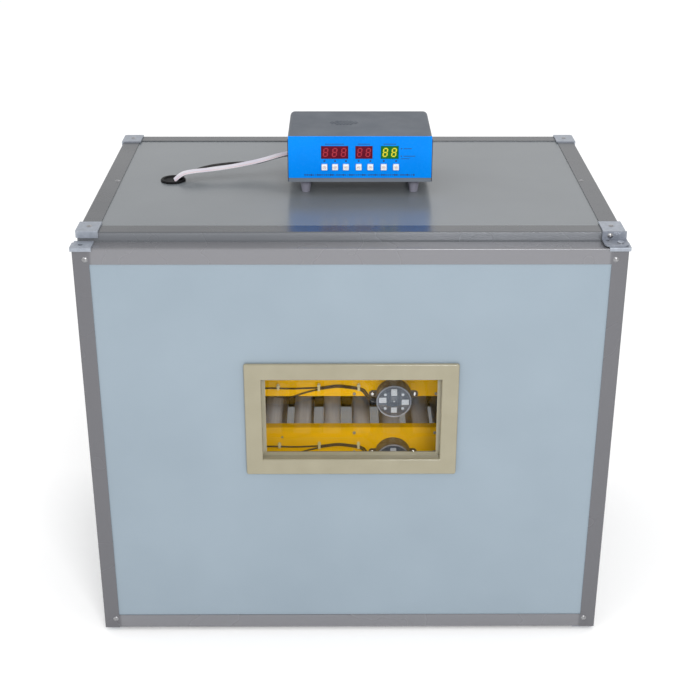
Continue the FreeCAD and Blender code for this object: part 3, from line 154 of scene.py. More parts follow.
class Finish:
    """A material and the noise chains that vary it over a surface."""

    def __init__(self, name, colour, roughness, **sockets):
        self.material = bpy.data.materials.new(name)
        self.material.use_nodes = True
        self.tree = self.material.node_tree
        self.shader = self.tree.nodes["Principled BSDF"]
        self.colour = colour
        self.set("Base Color", linear(colour))
        self.set("Roughness", roughness)
        for socket, value in sockets.items():
            self.set(socket.replace("_", " ").title().replace("Ior", "IOR"), value)

    def set(self, socket, value):
        self.shader.inputs[socket].default_value = value

    def add(self, kind, **inputs):
        made = self.tree.nodes.new(f"ShaderNode{kind}")
        for socket, value in inputs.items():
            made.inputs[socket.replace("_", " ")].default_value = value
        return made

    def link(self, output, target):
        self.tree.links.new(output, target)

    def place(self, size, stretch):
        """Object coordinates with one unit to size metres, drawn out along each axis by stretch."""
        mapping = self.add("Mapping", Scale=[1 / (size * part) for part in stretch])
        self.link(self.add("TexCoord").outputs["Object"], mapping.inputs["Vector"])
        return mapping.outputs["Vector"]

    def noise(self, size, stretch=(1, 1, 1), detail=3.0):
        texture = self.add("TexNoise", Scale=1.0, Detail=detail)
        self.link(self.place(size, stretch), texture.inputs["Vector"])
        return texture.outputs["Fac"]

    def cells(self, size, stretch=(1, 1, 1)):
        """Distance to the nearest of scattered points, for specks and grains."""
        texture = self.add("TexVoronoi", Scale=1.0)
        self.link(self.place(size, stretch), texture.inputs["Vector"])
        return texture.outputs["Distance"]

    def shades(self, field, low_colour, high_colour, low=0.3, high=0.7):
        """Base colour that runs from low_colour to high_colour as the field goes from low to high."""
        ramp = self.add("ValToRGB")
        for stop, position, colour in zip(ramp.color_ramp.elements, (low, high), (low_colour, high_colour)):
            stop.position = position
            stop.color = linear(colour)
        self.link(field, ramp.inputs["Fac"])
        self.link(ramp.outputs["Color"], self.shader.inputs["Base Color"])

    def tints(self, field, spread, low=0.3, high=0.7):
        """Base colour that varies by spread steps either side of the finish's own."""
        self.shades(field, [max(part - spread, 0) for part in self.colour],
                    [min(part + spread, 255) for part in self.colour], low, high)

    def gloss(self, field, smooth, rough):
        """Roughness that runs from smooth to rough over the field."""
        spread = self.add("MapRange", From_Min=0.3, From_Max=0.7, To_Min=smooth, To_Max=rough)
        self.link(field, spread.inputs["Value"])
        self.link(spread.outputs["Result"], self.shader.inputs["Roughness"])

    def relief(self, field, height):
        """Surface relief of that height, added to any relief the finish already has."""
        bump = self.add("Bump", Distance=height, Strength=1.0)
        self.link(field, bump.inputs["Height"])
        normal = self.shader.inputs["Normal"]
        if normal.is_linked:
            self.link(normal.links[0].from_socket, bump.inputs["Normal"])
        self.link(bump.outputs["Normal"], normal)


# ---- finishes -------------------------------------------------------------------------------------

def painted_sheet(name, colour):
    """Smooth roller-coated steel sheet with a faint orange peel and a gloss that drifts slowly."""
    paint = Finish(name, colour, 0.24, specular_ior_level=0.45)
    paint.tints(paint.noise(0.12, detail=2.0), 2)
    paint.gloss(paint.noise(0.25, detail=1.0), 0.22, 0.27)
    paint.relief(paint.noise(0.004), 0.000012)
    return paint.material


def panel_grey():
    return painted_sheet("panel_grey", (112, 117, 121))


def door_skin():
    return painted_sheet("door_skin", (138, 152, 163))


def satin(metal):
    """Slowly drifting gloss and fine satin grain of an anodised profile."""
    metal.gloss(metal.noise(0.08, detail=2.0), 0.22, 0.30)
    metal.relief(metal.noise(0.0006), 0.000004)
    return metal.material


def profile_aluminium():
    metal = Finish("profile_aluminium", (122, 122, 125), 0.26, metallic=0.3)
    metal.tints(metal.noise(0.10, detail=2.0), 3)
    return satin(metal)


def across(metal, axis):
    """Place along one axis of the object's own box, from 0 to 1."""
    place = metal.add("SeparateXYZ")
    metal.link(metal.add("TexCoord").outputs["Generated"], place.inputs["Vector"])
    return place.outputs[axis]


def cabinet_profiles():
    """Painted shade: the faces that look up, at the top of the profiles' box, are coloured darker than the
    rest.
    """
    metal = Finish("cabinet_profiles", (118, 120, 124), 0.26, metallic=0.3)
    # painted shade: darker colour on the topmost faces of the profiles
    metal.shades(across(metal, "Z"), (125, 128, 133), (80, 82, 86), 0.9965, 0.999)
    return satin(metal)


def door_profiles():
    """Painted shade: the uprights, which take up the first and last few hundredths of the width, are
    coloured darker than the level members.
    """
    shaded_upright = (101, 101, 105)
    level = (124, 124, 128)
    share = 0.031
    metal = Finish("door_profiles", level, 0.26, metallic=0.3)
    # painted shade on the uprights: darker colour at both ends of the width
    metal.shades(across(metal, "X"), shaded_upright, level, share, share + 0.002)
    ramp = metal.shader.inputs["Base Color"].links[0].from_node.color_ramp
    for position, colour in ((0.998 - share, level), (1 - share, shaded_upright)):
        ramp.elements.new(position).color = linear(colour)
    return satin(metal)


def cap_aluminium():
    """Die-cast corner piece: brighter than the profiles, with a grainy tumbled surface."""
    metal = Finish("cap_aluminium", (150, 156, 166), 0.42, metallic=0.4)
    metal.tints(metal.noise(0.006, detail=6.0), 8)
    metal.gloss(metal.noise(0.004, detail=4.0), 0.36, 0.48)
    metal.relief(metal.cells(0.0009), 0.00003)
    return metal.material


def rivet_metal():
    metal = Finish("rivet_metal", (150, 150, 152), 0.30, metallic=1.0)
    metal.tints(metal.noise(0.002), 16)
    metal.relief(metal.noise(0.0008), 0.00002)
    return metal.material


def rubber(name, colour, roughness):
    """Moulded rubber with a matt grain and a little dust."""
    soft = Finish(name, colour, roughness, specular_ior_level=0.2)
    soft.tints(soft.noise(0.006, detail=6.0), 4)
    soft.gloss(soft.noise(0.003), roughness - 0.1, roughness + 0.08)
    soft.relief(soft.cells(0.0007), 0.00003)
    return soft.material


def black_rubber():
    return rubber("black_rubber", (5, 6, 8), 0.6)


def seal_rubber():
    return rubber("seal_rubber", (146, 148, 151), 0.6)


def foot_plastic():
    return rubber("foot_plastic", (134, 133, 146), 0.5)


def plated_steel(name, colour, roughness, blotch=0.008, metallic=1.0):
    """Zinc-plated steel with the spangle and small scuffs of a handled part."""
    metal = Finish(name, colour, roughness, metallic=metallic)
    metal.tints(metal.cells(blotch), 6, 0.2, 0.8)
    metal.gloss(metal.noise(0.004, detail=4.0), roughness - 0.06, roughness + 0.08)
    metal.relief(metal.noise(0.0007), 0.000012)
    return metal.material


def hinge_steel():
    return plated_steel("hinge_steel", (132, 137, 147), 0.42, metallic=0.5)


def bright_steel():
    return plated_steel("bright_steel", (205, 206, 208), 0.2, 0.003)


def motor_steel():
    return plated_steel("motor_steel", (74, 75, 78), 0.42, 0.005, 0.5)


def heater_steel():
    """Stainless rod with straw and blue heat tints along it."""
    metal = Finish("heater_steel", (150, 142, 130), 0.34, metallic=1.0)
    metal.shades(metal.noise(0.05, (1.6, 1, 1), 3.0), (118, 112, 124), (176, 160, 136))
    metal.gloss(metal.noise(0.003, (1, 6, 6)), 0.24, 0.44)
    metal.relief(metal.noise(0.0005, (1, 12, 12)), 0.00001)
    return metal.material


def moulded(name, colour, roughness, spread=3, **sockets):
    """Injection-moulded plastic: even colour, faint flow marks and a fine spark texture."""
    plastic = Finish(name, colour, roughness, **sockets)
    plastic.tints(plastic.noise(0.03, detail=5.0), spread)
    plastic.gloss(plastic.noise(0.008, detail=5.0), roughness - 0.06, roughness + 0.08)
    plastic.relief(plastic.noise(0.0009), 0.000012)
    return plastic.material


def pan_plastic():
    return moulded("pan_plastic", (214, 220, 222), 0.35, subsurface_weight=0.15, subsurface_scale=0.004)


def black_plastic():
    return moulded("black_plastic", (34, 35, 38), 0.42)


def white_plastic():
    return moulded("white_plastic", (222, 222, 216), 0.38)


def frame_cream():
    return moulded("frame_cream", (147, 141, 119), 0.18, coat_weight=0.2, coat_roughness=0.06)


def button_white():
    return moulded("button_white", (236, 238, 240), 0.3)


def display_plastic():
    return moulded("display_plastic", (26, 20, 24), 0.3)


def tie_plastic():
    return moulded("tie_plastic", (206, 196, 150), 0.4)


def tray_yellow():
    """Baked enamel with orange peel, yellow, with painted shade: the rear rail of each tray is coloured
    black where it lies in shadow behind the trays.
    """
    paint = Finish("tray_yellow", (240, 182, 0), 0.4, specular_ior_level=0.06)
    # painted shade: black on the rear rail of each tray
    paint.shades(across(paint, "Y"), (240, 182, 0), (22, 21, 20), 0.955, 0.957)
    paint.gloss(paint.noise(0.012, detail=4.0), 0.24, 0.42)
    paint.relief(paint.noise(0.0022), 0.00002)
    return paint.material


def roller_plastic():
    """Grey pipe with extrusion lines along it and light scuffs."""
    pipe = Finish("roller_plastic", (226, 225, 226), 0.45)
    pipe.shades(pipe.noise(0.0035, (1, 30, 1), 6.0), (216, 215, 217), (236, 235, 236))
    pipe.gloss(pipe.noise(0.006, (1, 8, 1)), 0.36, 0.55)
    pipe.relief(pipe.noise(0.0006, (1, 60, 1), 2.0), 0.00002)
    return pipe.material


def lead_black():
    """Black cable sheath, slightly dusty."""
    sheath = Finish("lead_black", (26, 23, 23), 0.42, specular_ior_level=0.3)
    sheath.tints(sheath.noise(0.01, detail=5.0), 5)
    sheath.gloss(sheath.noise(0.004), 0.3, 0.5)
    sheath.relief(sheath.noise(0.0008), 0.00002)
    return sheath.material


def powder_coat(name, colour):
    """Satin powder coat with a fine even grain."""
    paint = Finish(name, colour, 0.45, specular_ior_level=0.3)
    paint.tints(paint.noise(0.04, detail=3.0), 2)
    paint.gloss(paint.noise(0.03, detail=2.0), 0.40, 0.48)
    paint.relief(paint.cells(0.0008), 0.000012)
    return paint.material


def case_grey():
    return powder_coat("case_grey", (68, 76, 87))


def controller_base():
    return powder_coat("controller_base", (108, 115, 125))


def face_blue():
    """Printed polycarbonate sheet, a little deeper in colour at one end."""
    film = Finish("face_blue", (0, 136, 240), 0.3, specular_ior_level=0.08)
    film.shades(film.noise(0.05, detail=4.0), (0, 132, 236), (0, 140, 245))
    film.gloss(film.noise(0.006), 0.2, 0.32)
    film.relief(film.noise(0.0007), 0.000008)
    return film.material


def board_green():
    """Solder mask with lighter copper areas showing through it."""
    mask = Finish("board_green", (18, 84, 48), 0.3)
    mask.shades(mask.cells(0.006, (2, 1, 1)), (12, 66, 38), (40, 112, 62), 0.25, 0.5)
    mask.relief(mask.noise(0.0015), 0.00003)
    return mask.material


def ribbon_white():
    """Soft grey-white cable insulation with a faint lilac cast."""
    skin = Finish("ribbon_white", (205, 202, 212), 0.42)
    skin.shades(skin.noise(0.03, detail=4.0), (198, 193, 208), (214, 212, 215))
    skin.gloss(skin.noise(0.003), 0.34, 0.5)
    skin.relief(skin.noise(0.0005), 0.00001)
    return skin.material


def ribbon_red():
    """Marked conductor of the flat cable, its dye uneven and pale."""
    skin = Finish("ribbon_red", (206, 178, 182), 0.42)
    skin.shades(skin.noise(0.012, (2, 2, 1), 5.0), (198, 160, 166), (212, 194, 198))
    skin.relief(skin.noise(0.0005), 0.00001)
    return skin.material


def pane_glass():
    """Clear sheet with a trace of smears."""
    sheet = Finish("pane_glass", (250, 252, 251), 0.01, transmission_weight=1.0, ior=1.45, alpha=0.08)
    sheet.gloss(sheet.noise(0.05, (3, 1, 1), 4.0), 0.0, 0.025)
    return sheet.material


def print_ink(name, colour):
    """Screen-printed ink, slightly uneven at its edges."""
    ink = Finish(name, colour, 0.4)
    ink.tints(ink.noise(0.0008, detail=5.0), 14)
    ink.relief(ink.noise(0.0004), 0.00001)
    return ink.material


def motor_label():
    """Dark slate film on the motor's end."""
    film = Finish("motor_label", (58, 66, 78), 0.3, coat_weight=0.25, coat_roughness=0.12)
    film.tints(film.noise(0.006, detail=5.0), 7)
    film.relief(film.noise(0.0009), 0.000012)
    return film.material


def lens(name, colour):
    """Tinted display window."""
    tinted = Finish(name, colour, 0.2, specular_ior_level=0.1)
    tinted.tints(tinted.noise(0.004, detail=3.0), 5)
    tinted.gloss(tinted.noise(0.003), 0.16, 0.26)
    tinted.relief(tinted.noise(0.002), 0.000006)
    return tinted.material


def lit_segment(name, colour, strength):
    """Lit display segment, a little dimmer towards parts of its bar."""
    glow = Finish(name, colour, 0.4, emission_color=linear(colour), emission_strength=strength)
    glow.tints(glow.noise(0.0012), 12)
    return glow.material


SLOT_FINISHES = (panel_grey, door_skin, profile_aluminium, cap_aluminium, rivet_metal, black_rubber,
                 seal_rubber, foot_plastic, hinge_steel, bright_steel, motor_steel, heater_steel,
                 pan_plastic, black_plastic, white_plastic, frame_cream, button_white, display_plastic,
                 tray_yellow, roller_plastic, lead_black, case_grey, face_blue, board_green, ribbon_white,
                 pane_glass)
NODE_FINISHES = (cabinet_profiles, door_profiles, controller_base)
finishes = {make.__name__: make() for make in SLOT_FINISHES}
node_finishes = {make.__name__: make() for make in NODE_FINISHES}


def dress_frame():
    """Gives every CAD node its own finish if it has one, or the one its material slot is named after."""
    for name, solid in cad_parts.items():
        for holder in solid.material_slots:
            slot = holder.material.name.split(".")[0]
            holder.material = node_finishes[name] if name in node_finishes else finishes[slot]


# ---- mesh building --------------------------------------------------------------------------------

def add_piece(name, body, materials, build, edge=0.0, sharp=35):
    """Piece whose mesh build(shape) makes, riding on a body, with its edges rounded by edge metres."""
    shape = bmesh.new()
    build(shape)
    bmesh.ops.recalc_face_normals(shape, faces=shape.faces)
    mesh = bpy.data.meshes.new(name)
    shape.to_mesh(mesh)
    shape.free()
    for material in materials:
        mesh.materials.append(material)
    mesh.shade_smooth()
    mesh.set_sharp_from_angle(angle=math.radians(sharp))
    made = add_object(name, mesh)
    if edge:
        rounding = made.modifiers.new("edges", "BEVEL")
        rounding.width = edge
        rounding.segments = 2
        rounding.limit_method = "ANGLE"
    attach(made, body)
    return made


def prism(shape, outline, front, back):
    """Straight-sided solid between two depths, its (x, z) outline seen from the front."""
    near = [shape.verts.new((x, front, z)) for x, z in outline]
    far = [shape.verts.new((x, back, z)) for x, z in outline]
    shape.faces.new(near)
    shape.faces.new(far[::-1])
    for index in range(len(outline)):
        follow = (index + 1) % len(outline)
        shape.faces.new((near[index], far[index], far[follow], near[follow]))


def oblong(x, z, width, height):
    """Outline of a rectangle about its middle."""
    return [(x - width / 2, z - height / 2), (x + width / 2, z - height / 2),
            (x + width / 2, z + height / 2), (x - width / 2, z + height / 2)]


def disc(x, z, radius, sides=24):
    """Outline of a circle about its middle."""
    return [(x + radius * math.cos(math.tau * step / sides), z + radius * math.sin(math.tau * step / sides))
            for step in range(sides)]


def lathe(shape, profile, centre, axis=TO_FRONT, sides=48):
    """Turned solid: the profile's (radius, distance along the axis) revolved about it."""
    turn = Matrix.Translation(centre) @ axis.to_track_quat("Z", "Y").to_matrix().to_4x4()
    rings = []
    for radius, along in profile:
        if radius == 0:
            rings.append([shape.verts.new(turn @ Vector((0, 0, along)))] * sides)
            continue
        angles = [math.tau * step / sides for step in range(sides)]
        around = [Vector((radius * math.cos(angle), radius * math.sin(angle), along)) for angle in angles]
        rings.append([shape.verts.new(turn @ point) for point in around])
    for inner, outer in zip(rings, rings[1:]):
        for step in range(sides):
            follow = (step + 1) % sides
            corners = [inner[step], inner[follow], outer[follow], outer[step]]
            shape.faces.new(list(dict.fromkeys(corners)))


def sweep(shape, path, sides_of):
    """Skin over the closed outlines that sides_of(index) gives at each point of the path."""
    rings = [[shape.verts.new(point) for point in sides_of(index)] for index in range(len(path))]
    count = len(rings[0])
    for near, far in zip(rings, rings[1:]):
        for step in range(count):
            follow = (step + 1) % count
            shape.faces.new((near[step], near[follow], far[follow], far[step]))
    shape.faces.new(rings[0][::-1])
    shape.faces.new(rings[-1])


# ---- cables on the cabinet top --------------------------------------------------------------------

# Both cables run from the grommet to the controller's side, along one upright plane.
# Each route is (distance along the plane, distance behind it, height).
CABLE_START = Vector((-0.2470, 0.0105, 0))
CABLE_END = Vector((-0.0833, 0.0520, 0))
RIBBON_ROUTE = ((0, 0, 0.5950), (0.009, 0, 0.6036), (0.024, 0, 0.6060), (0.047, 0, 0.6066),
                (0.072, 0, 0.6080), (0.100, 0, 0.6110), (0.127, 0, 0.6149), (0.150, 0, 0.6204),
                (0.165, 0, 0.6228), (0.177, 0, 0.6232))
WIRE_ROUTE = ((0.007, 0.0040, 0.5950), (0.013, 0.0050, 0.6002), (0.023, 0.0088, 0.6020),
              (0.033, 0.0116, 0.6040), (0.043, 0.0120, 0.6070), (0.058, 0.0118, 0.6092),
              (0.073, 0.0116, 0.6100), (0.088, 0.0116, 0.6104), (0.101, 0.0114, 0.6100),
              (0.110, 0.0102, 0.6088), (0.119, 0.0078, 0.6086), (0.132, 0.0055, 0.6118),
              (0.146, 0.0045, 0.6156), (0.160, 0.0040, 0.6182), (0.177, 0.0040, 0.6193))
WIRE_DIAMETER = 0.0032
RIBBON_WIDTH = 0.017
RIBBON_WEB = 0.0003
CONDUCTOR_RISE = 0.0003
CONDUCTORS = 14
MARKED_CONDUCTOR = 2.5
STEPS_PER_CONDUCTOR = 4
cable_along = (CABLE_END - CABLE_START).normalized()
cable_across = Vector((-cable_along.y, cable_along.x, 0))


def cable_curve(name, route):
    """Curve of one smooth spline over a route."""
    data = bpy.data.curves.new(name, "CURVE")
    data.dimensions = "3D"
    data.resolution_u = 10
    line = data.splines.new("NURBS")
    line.points.add(len(route) - 1)
    for point, (distance, aside, height) in zip(line.points, route):
        spot = CABLE_START + cable_along * distance + cable_across * aside
        point.co = (spot.x, spot.y, height, 1)
    line.order_u = 3
    line.use_endpoint_u = True
    return add_object(name, data)


def add_black_wire():
    wire = cable_curve("sensor_wire", WIRE_ROUTE)
    wire.data.bevel_depth = WIRE_DIAMETER / 2
    wire.data.bevel_resolution = 6
    wire.data.use_fill_caps = True
    wire.data.materials.append(finishes["lead_black"])
    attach(wire, "cabinet")
    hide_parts("black_wire")
    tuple(wire.data.splines[0].points[0].co[:3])


def ribbon_outline():
    """Cross-section of the flat cable as (across, up), a bump over each conductor."""
    steps = CONDUCTORS * STEPS_PER_CONDUCTOR
    top = []
    for step in range(steps + 1):
        bump = abs(math.sin(math.pi * step / STEPS_PER_CONDUCTOR))
        top.append((RIBBON_WIDTH * (step / steps - 0.5), RIBBON_WEB + CONDUCTOR_RISE * bump))
    return top + [(across, -up) for across, up in reversed(top)]


def add_ribbon():
    """Flat cable swept along its route, with one marked conductor near its edge."""
    guide = cable_curve("ribbon_guide", RIBBON_ROUTE)
    line = bpy.data.meshes.new_from_object(guide)
    path = [vertex.co.copy() for vertex in line.vertices]
    bpy.data.objects.remove(guide)
    outline = ribbon_outline()

    def skin_at(index):
        ahead = path[min(index + 1, len(path) - 1)] - path[max(index - 1, 0)]
        up = ahead.normalized().cross(cable_across)
        return [path[index] + cable_across * across + up * height for across, height in outline]

    ribbon = add_piece("flat_cable", "cabinet", (finishes["ribbon_white"], ribbon_red()),
                       lambda shape: sweep(shape, path, skin_at), sharp=60)
    marked = RIBBON_WIDTH * (MARKED_CONDUCTOR / CONDUCTORS - 0.5)
    for face in ribbon.data.polygons:
        middle = face.center - CABLE_START
        if abs(middle.dot(cable_across) - marked) < RIBBON_WIDTH / CONDUCTORS:
            face.material_index = 1
    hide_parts("ribbon_cable")
    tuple(path[0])


add_black_wire()
add_ribbon()
add_studio_lights()
add_back_wall_light()
add_tray_light()
add_world()
dress_frame()


# ---- controller face ------------------------------------------------------------------------------

face_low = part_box("controller_panel")[0]
module_low, module_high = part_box("display_modules")
KEYS = 7
LENS_THICK = 0.35 * MM
INK_THICK = 0.05 * MM
PRINT_RISE = 2.9 * MM
button_boxes = [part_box(f"button_{count}") for count in range(1, KEYS + 1)]

# Left edge, right edge and number of digits of each display.
DISPLAYS = ((-38.9 * MM, -2.5 * MM, 3), (7.5 * MM, 30.4 * MM, 2), (42.0 * MM, 65.5 * MM, 2))


def add_display(count, left, right, digits, tint, lit):
    """Tinted window over a display and the lit segments of its digits."""
    glass_front = module_low.y - LENS_THICK
    height = module_high.z - module_low.z
    middle_z = (module_low.z + module_high.z) / 2
    window = oblong((left + right) / 2, middle_z, right - left, height)
    add_piece(f"display_lens_{count}", "cabinet", (tint,),
              lambda shape: prism(shape, window, glass_front, module_low.y), edge=0.2 * MM)
    pitch = (right - left) / digits
    digit_width = pitch * 0.58
    digit_height = height * 0.72

    def segments(shape):
        for digit in range(digits):
            middle_x = left + pitch * (digit + 0.5)
            for outline in digit_segments(middle_x, middle_z, digit_width, digit_height):
                prism(shape, outline, glass_front - INK_THICK, glass_front)

    add_piece(f"display_digits_{count}", "cabinet", (lit,), segments)


def digit_segments(x, z, width, height):
    """Six-sided bars of one seven-segment figure, leaning a little to the right."""
    thick = width * 0.24
    gap = thick * 0.12
    lean = 0.12
    half = height / 2 - thick / 2
    side = width / 2 - thick / 2
    bars = [((-side, level), (side, level)) for level in (-half, 0, half)]
    bars += [((edge, low), (edge, low + half)) for edge in (-side, side) for low in (-half, 0)]
    for (x0, z0), (x1, z1) in bars:
        along = Vector((x1 - x0, z1 - z0)).normalized()
        aside = Vector((-along.y, along.x)) * thick / 2
        start = Vector((x0, z0)) + along * gap
        end = Vector((x1, z1)) - along * gap
        shoulder = along * thick / 2
        corners = (start, start + shoulder + aside, end - shoulder + aside, end,
                   end - shoulder - aside, start + shoulder - aside)
        yield [(x + corner.x + corner.y * lean, z + corner.y) for corner in corners]


def print_face(shape):
    """Generic printed marks: a rule over each display, a dot over each key, three rules beside the last
    display and a row of dashes along the bottom.
    """
    def ink(outline):
        prism(shape, outline, face_low.y - INK_THICK, face_low.y)

    for left, right, _ in DISPLAYS:
        ink(oblong((left + right) / 2, module_high.z + PRINT_RISE, (right - left) * 0.72, 0.9 * MM))
    for low, high in button_boxes:
        ink(disc((low.x + high.x) / 2, high.z + PRINT_RISE, 1.3 * MM))
    beside = DISPLAYS[-1][1] + 4 * MM
    ink(oblong(beside + 5.5 * MM, module_low.z, 12 * MM, 0.7 * MM))
    for rise, reach in ((14.0, 11), (3.6, 16)):
        level = module_low.z + rise * MM
        ink(disc(beside, level, 0.9 * MM))
        ink(oblong(beside + (3 + reach / 2) * MM, level, reach * MM, 0.8 * MM))
    dash_count = 52
    dash_pitch = 2.9 * MM
    first_dash = -61.0 * MM
    for index in range(dash_count):
        width = (1.5, 2.2, 1.1, 1.9, 2.4)[index * 3 % 5] * MM
        height = (2.4, 1.4, 2.0)[index * 2 % 3] * MM
        ink(oblong(first_dash + index * dash_pitch, face_low.z + 4.2 * MM, width, height))


def add_key_mark(count):
    """Printed ring of dots and a bar on one key, riding with it."""
    low, high = button_boxes[count - 1]
    x = (low.x + high.x) / 2
    z = (low.z + high.z) / 2

    dots = 8
    ring_radius = 1.9 * MM

    def marks(shape):
        outlines = []
        for step in range(dots):
            angle = math.tau * step / dots
            outlines.append(disc(x + ring_radius * math.cos(angle), z + ring_radius * math.sin(angle),
                                 radius=0.42 * MM, sides=12))
        outlines.append(oblong(x, z, 1.9 * MM, 0.7 * MM))
        for outline in outlines:
            prism(shape, outline, low.y - INK_THICK, low.y + INK_THICK)

    add_piece(f"key_mark_{count}", f"button_{count}", (key_ink,), marks)


key_ink = print_ink("key_ink", (168, 92, 96))
add_piece("face_print", "cabinet", (print_ink("face_ink", (4, 48, 98)),), print_face)
red_lens = lens("red_lens", (96, 4, 34))
green_lens = lens("green_lens", (20, 108, 40))
red_light = lit_segment("red_light", (150, 8, 36), 0.25)
yellow_light = lit_segment("yellow_light", (200, 190, 20), 0.3)
LENSES = ((red_lens, red_light), (red_lens, red_light), (green_lens, yellow_light))
for display_count, ((display_left, display_right, digit_count), (tint, lit)) in enumerate(
        zip(DISPLAYS, LENSES), start=1):
    add_display(display_count, display_left, display_right, digit_count, tint, lit)
for key_count in range(1, KEYS + 1):
    add_key_mark(key_count)


# ---- motors, ties and screws on the tray rails ----------------------------------------------------

TRAYS = 4
TRAY_PITCH = 91.4 * MM
MOTOR_RISE = 1.5 * MM
LABEL_RADIUS = 21.8 * MM
LABEL_THICK = 0.2 * MM
MARK_THICK = 0.06 * MM
EAR_REACH = 29 * MM
EAR_RISE = 4 * MM
EAR_THICK = 1.5 * MM
trays_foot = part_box("tray_frames")[0].z
rail_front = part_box("tray_frames")[0].y
tray_feet = [trays_foot + TRAY_PITCH * level for level in range(TRAYS)]
motors_low, motors_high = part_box("turning_motors")
motor_x = (motors_low.x + motors_high.x) / 2
motor_spots = [Vector((motor_x, motors_low.y, foot + MOTOR_RISE)) for foot in tray_feet]


def motor_rims(shape):
    """Rolled bright edge on the end of each motor can."""
    rim = ((22.2, 0), (22.3, 0.5), (22.9, 0.9), (23.6, 0.9), (24.1, 0.5), (24.2, 0), (22.2, 0))
    for spot in motor_spots:
        lathe(shape, [(radius * MM, along * MM) for radius, along in rim], spot)


def motor_labels(shape):
    """Round film on each motor's end, its edge turned down."""
    film = ((0, LABEL_THICK), (LABEL_RADIUS - 0.2 * MM, LABEL_THICK), (LABEL_RADIUS, LABEL_THICK / 2),
            (LABEL_RADIUS, 0))
    for spot in motor_spots:
        lathe(shape, film, spot, sides=64)


def motor_marks(shape):
    """White boxes at the quarters of each label, dots between them and a dot in the middle."""
    boxes = ((0, 14, 8, 10), (0, -13, 8, 8), (15.5, -1, 10, 8), (-15.5, 2, 10, 8))
    dots = [(right, up, 2) for right in (-12, 12) for up in (-10.5, 10.5)] + [(0, 0, 0.9)]
    for spot in motor_spots:
        outlines = [oblong(spot.x + right * MM, spot.z + up * MM, width * MM, height * MM)
                    for right, up, width, height in boxes]
        outlines += [disc(spot.x + right * MM, spot.z + up * MM, radius * MM) for right, up, radius in dots]
        for outline in outlines:
            prism(shape, outline, spot.y - LABEL_THICK - MARK_THICK, spot.y - LABEL_THICK)


cross_heads = {}


def screw_head(shape, spot, radius, axis=TO_FRONT):
    """Pan head with a cross recess sunk into it."""
    template = cross_heads.setdefault(radius, cross_head(radius))
    turn = Matrix.Translation(spot) @ axis.to_track_quat("Z", "Y").to_matrix().to_4x4()
    before = len(shape.verts)
    shape.from_mesh(template)
    shape.verts.ensure_lookup_table()
    bmesh.ops.transform(shape, matrix=turn, verts=shape.verts[before:])


def cross_head(radius):
    """Mesh of a screw head that points up, with its recess cut by two crossed bars."""
    rise = radius * 0.55
    head = bmesh.new()
    dome = ((0, 0), (radius, 0), (radius, rise * 0.35), (radius * 0.86, rise * 0.75), (radius * 0.55, rise),
            (0, rise))
    lathe(head, dome, Vector((0, 0, 0)), axis=Vector((0, 0, 1)), sides=32)
    long = radius * 1.15
    narrow = radius * 0.24
    bars = bmesh.new()
    for width, depth in ((long, narrow), (narrow, long)):
        box = Matrix.Translation((0, 0, rise)) @ Matrix.Diagonal((width, depth, rise, 1))
        bmesh.ops.create_cube(bars, size=1, matrix=box)
    made = []
    for name, shape in (("head", head), ("bars", bars)):
        bmesh.ops.recalc_face_normals(shape, faces=shape.faces)
        mesh = bpy.data.meshes.new(name)
        shape.to_mesh(mesh)
        shape.free()
        made.append(add_object(name, mesh))
    whole, tool = made
    cutter = whole.modifiers.new("recess", "BOOLEAN")
    cutter.object = tool
    cutter.operation = "DIFFERENCE"
    cutter.use_self = True
    cut = bpy.data.meshes.new_from_object(whole.evaluated_get(bpy.context.evaluated_depsgraph_get()))
    for spare in made:
        bpy.data.objects.remove(spare)
    return cut


def rail_screws(shape):
    """Screws near both edges of every rail at two places along it, and a smaller one over the leads."""
    screws = [(x, rise, 2.2) for x in (6, 119) for rise in (3.4, 33.6)] + [(-95, 27, 1.6)]
    for foot in tray_feet:
        for x, rise, radius in screws:
            screw_head(shape, Vector((x * MM, rail_front, foot + rise * MM)), radius * MM)


def ear_screws(shape):
    """Larger screw through each mounting ear of the motors."""
    for foot in tray_feet:
        for way in (-1, 1):
            spot = Vector((motor_x + EAR_REACH * way, rail_front - EAR_THICK, foot + EAR_RISE))
            screw_head(shape, spot, 3 * MM)


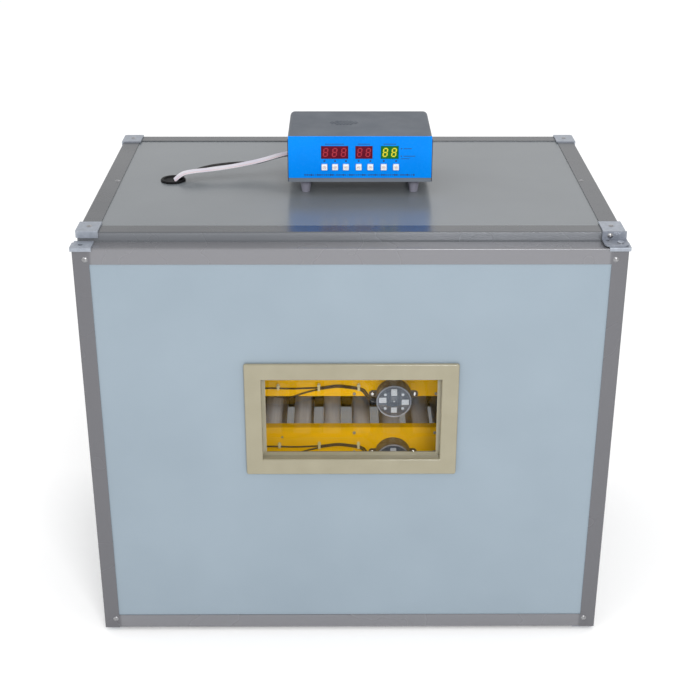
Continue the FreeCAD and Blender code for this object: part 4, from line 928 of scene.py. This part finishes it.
def tie(shape, x, low, high, depth):
    """Strap over leads that stand depth proud of the rail, with its lock on top and a cut tail."""
    half = 1.7 * MM
    thick = 0.9 * MM
    slack = 0.2 * MM
    reach = depth + thick
    shoulder = reach * 0.6
    path = [(0, low - thick), (-shoulder, low - thick), (-reach, low), (-reach, high),
            (-shoulder, high + thick), (0, high + thick), (0, high), (-depth * 0.7, high - slack),
            (-depth, high - thick), (-depth, low + thick), (-depth * 0.7, low + slack), (0, low)]
    near = [shape.verts.new((x - half, rail_front + y, z)) for y, z in path]
    far = [shape.verts.new((x + half, rail_front + y, z)) for y, z in path]
    for index in range(len(path)):
        follow = (index + 1) % len(path)
        shape.faces.new((near[index], near[follow], far[follow], far[index]))
    for side in (near, far):
        last = len(side) - 1
        for index in range(len(side) // 2 - 1):
            shape.faces.new((side[index], side[index + 1], side[last - 1 - index], side[last - index]))
    lock = oblong(x, high + thick + 1.2 * MM, 4.4 * MM, 3.4 * MM)
    prism(shape, lock, rail_front - reach * 0.95, rail_front - 0.1 * MM)
    tail = oblong(x, high + thick + 3.9 * MM, 2.4 * MM, 2 * MM)
    prism(shape, tail, rail_front - shoulder, rail_front - shoulder + 0.8 * MM)


def lead_ties(shape):
    """Four ties along the leads of every rail."""
    leads_depth = 2.6 * MM
    for foot in tray_feet:
        for x, low, high in ((12, 9.6, 14.8), (-43, 9.6, 14.8), (-99, 11.0, 14.0), (-215, 11.4, 14.6)):
            tie(shape, x * MM, foot + low * MM, foot + high * MM, leads_depth)


add_piece("motor_rims", "cabinet", (finishes["hinge_steel"],), motor_rims)
add_piece("motor_labels", "cabinet", (motor_label(),), motor_labels)
label_ink = print_ink("label_white", (178, 182, 187))
add_piece("motor_marks", "cabinet", (label_ink,), motor_marks)
add_piece("rail_screws", "cabinet", (finishes["hinge_steel"],), rail_screws)
add_piece("ear_screws", "cabinet", (finishes["bright_steel"],), ear_screws)
add_piece("lead_ties", "cabinet", (tie_plastic(),), lead_ties, edge=0.15 * MM)


# ---- mains inlet ----------------------------------------------------------------------------------

def inlet_blades(shape):
    """Three flat contacts standing in the socket."""
    low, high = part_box("power_inlet")
    x = (low.x + high.x) / 2
    z = (low.z + high.z) / 2
    root = high.y - 16.6 * MM
    tip = high.y - 3 * MM
    for right, up in ((-5.6, -1), (0, 2.4), (5.6, -1)):
        prism(shape, oblong(x + right * MM, z + up * MM, 1.8 * MM, 4 * MM), root, tip)


add_piece("inlet_blades", "cabinet", (finishes["bright_steel"],), inlet_blades,
          edge=0.3 * MM)


# ---- stage and size -------------------------------------------------------------------------------

def add_floor():
    """Plain pale floor that runs out of view on every side."""
    reach = 14
    pale = Finish("floor_paper", (251, 251, 251), 0.8, specular_ior_level=0.0,
                  emission_color=(1, 1, 1, 1), emission_strength=0.12)
    pale.tints(pale.noise(0.6), 1)
    shape = bmesh.new()
    bmesh.ops.create_grid(shape, x_segments=8, y_segments=8, size=reach)
    mesh = bpy.data.meshes.new("floor")
    shape.to_mesh(mesh)
    shape.free()
    mesh.materials.append(pale.material)
    add_object("floor", mesh)


add_floor()
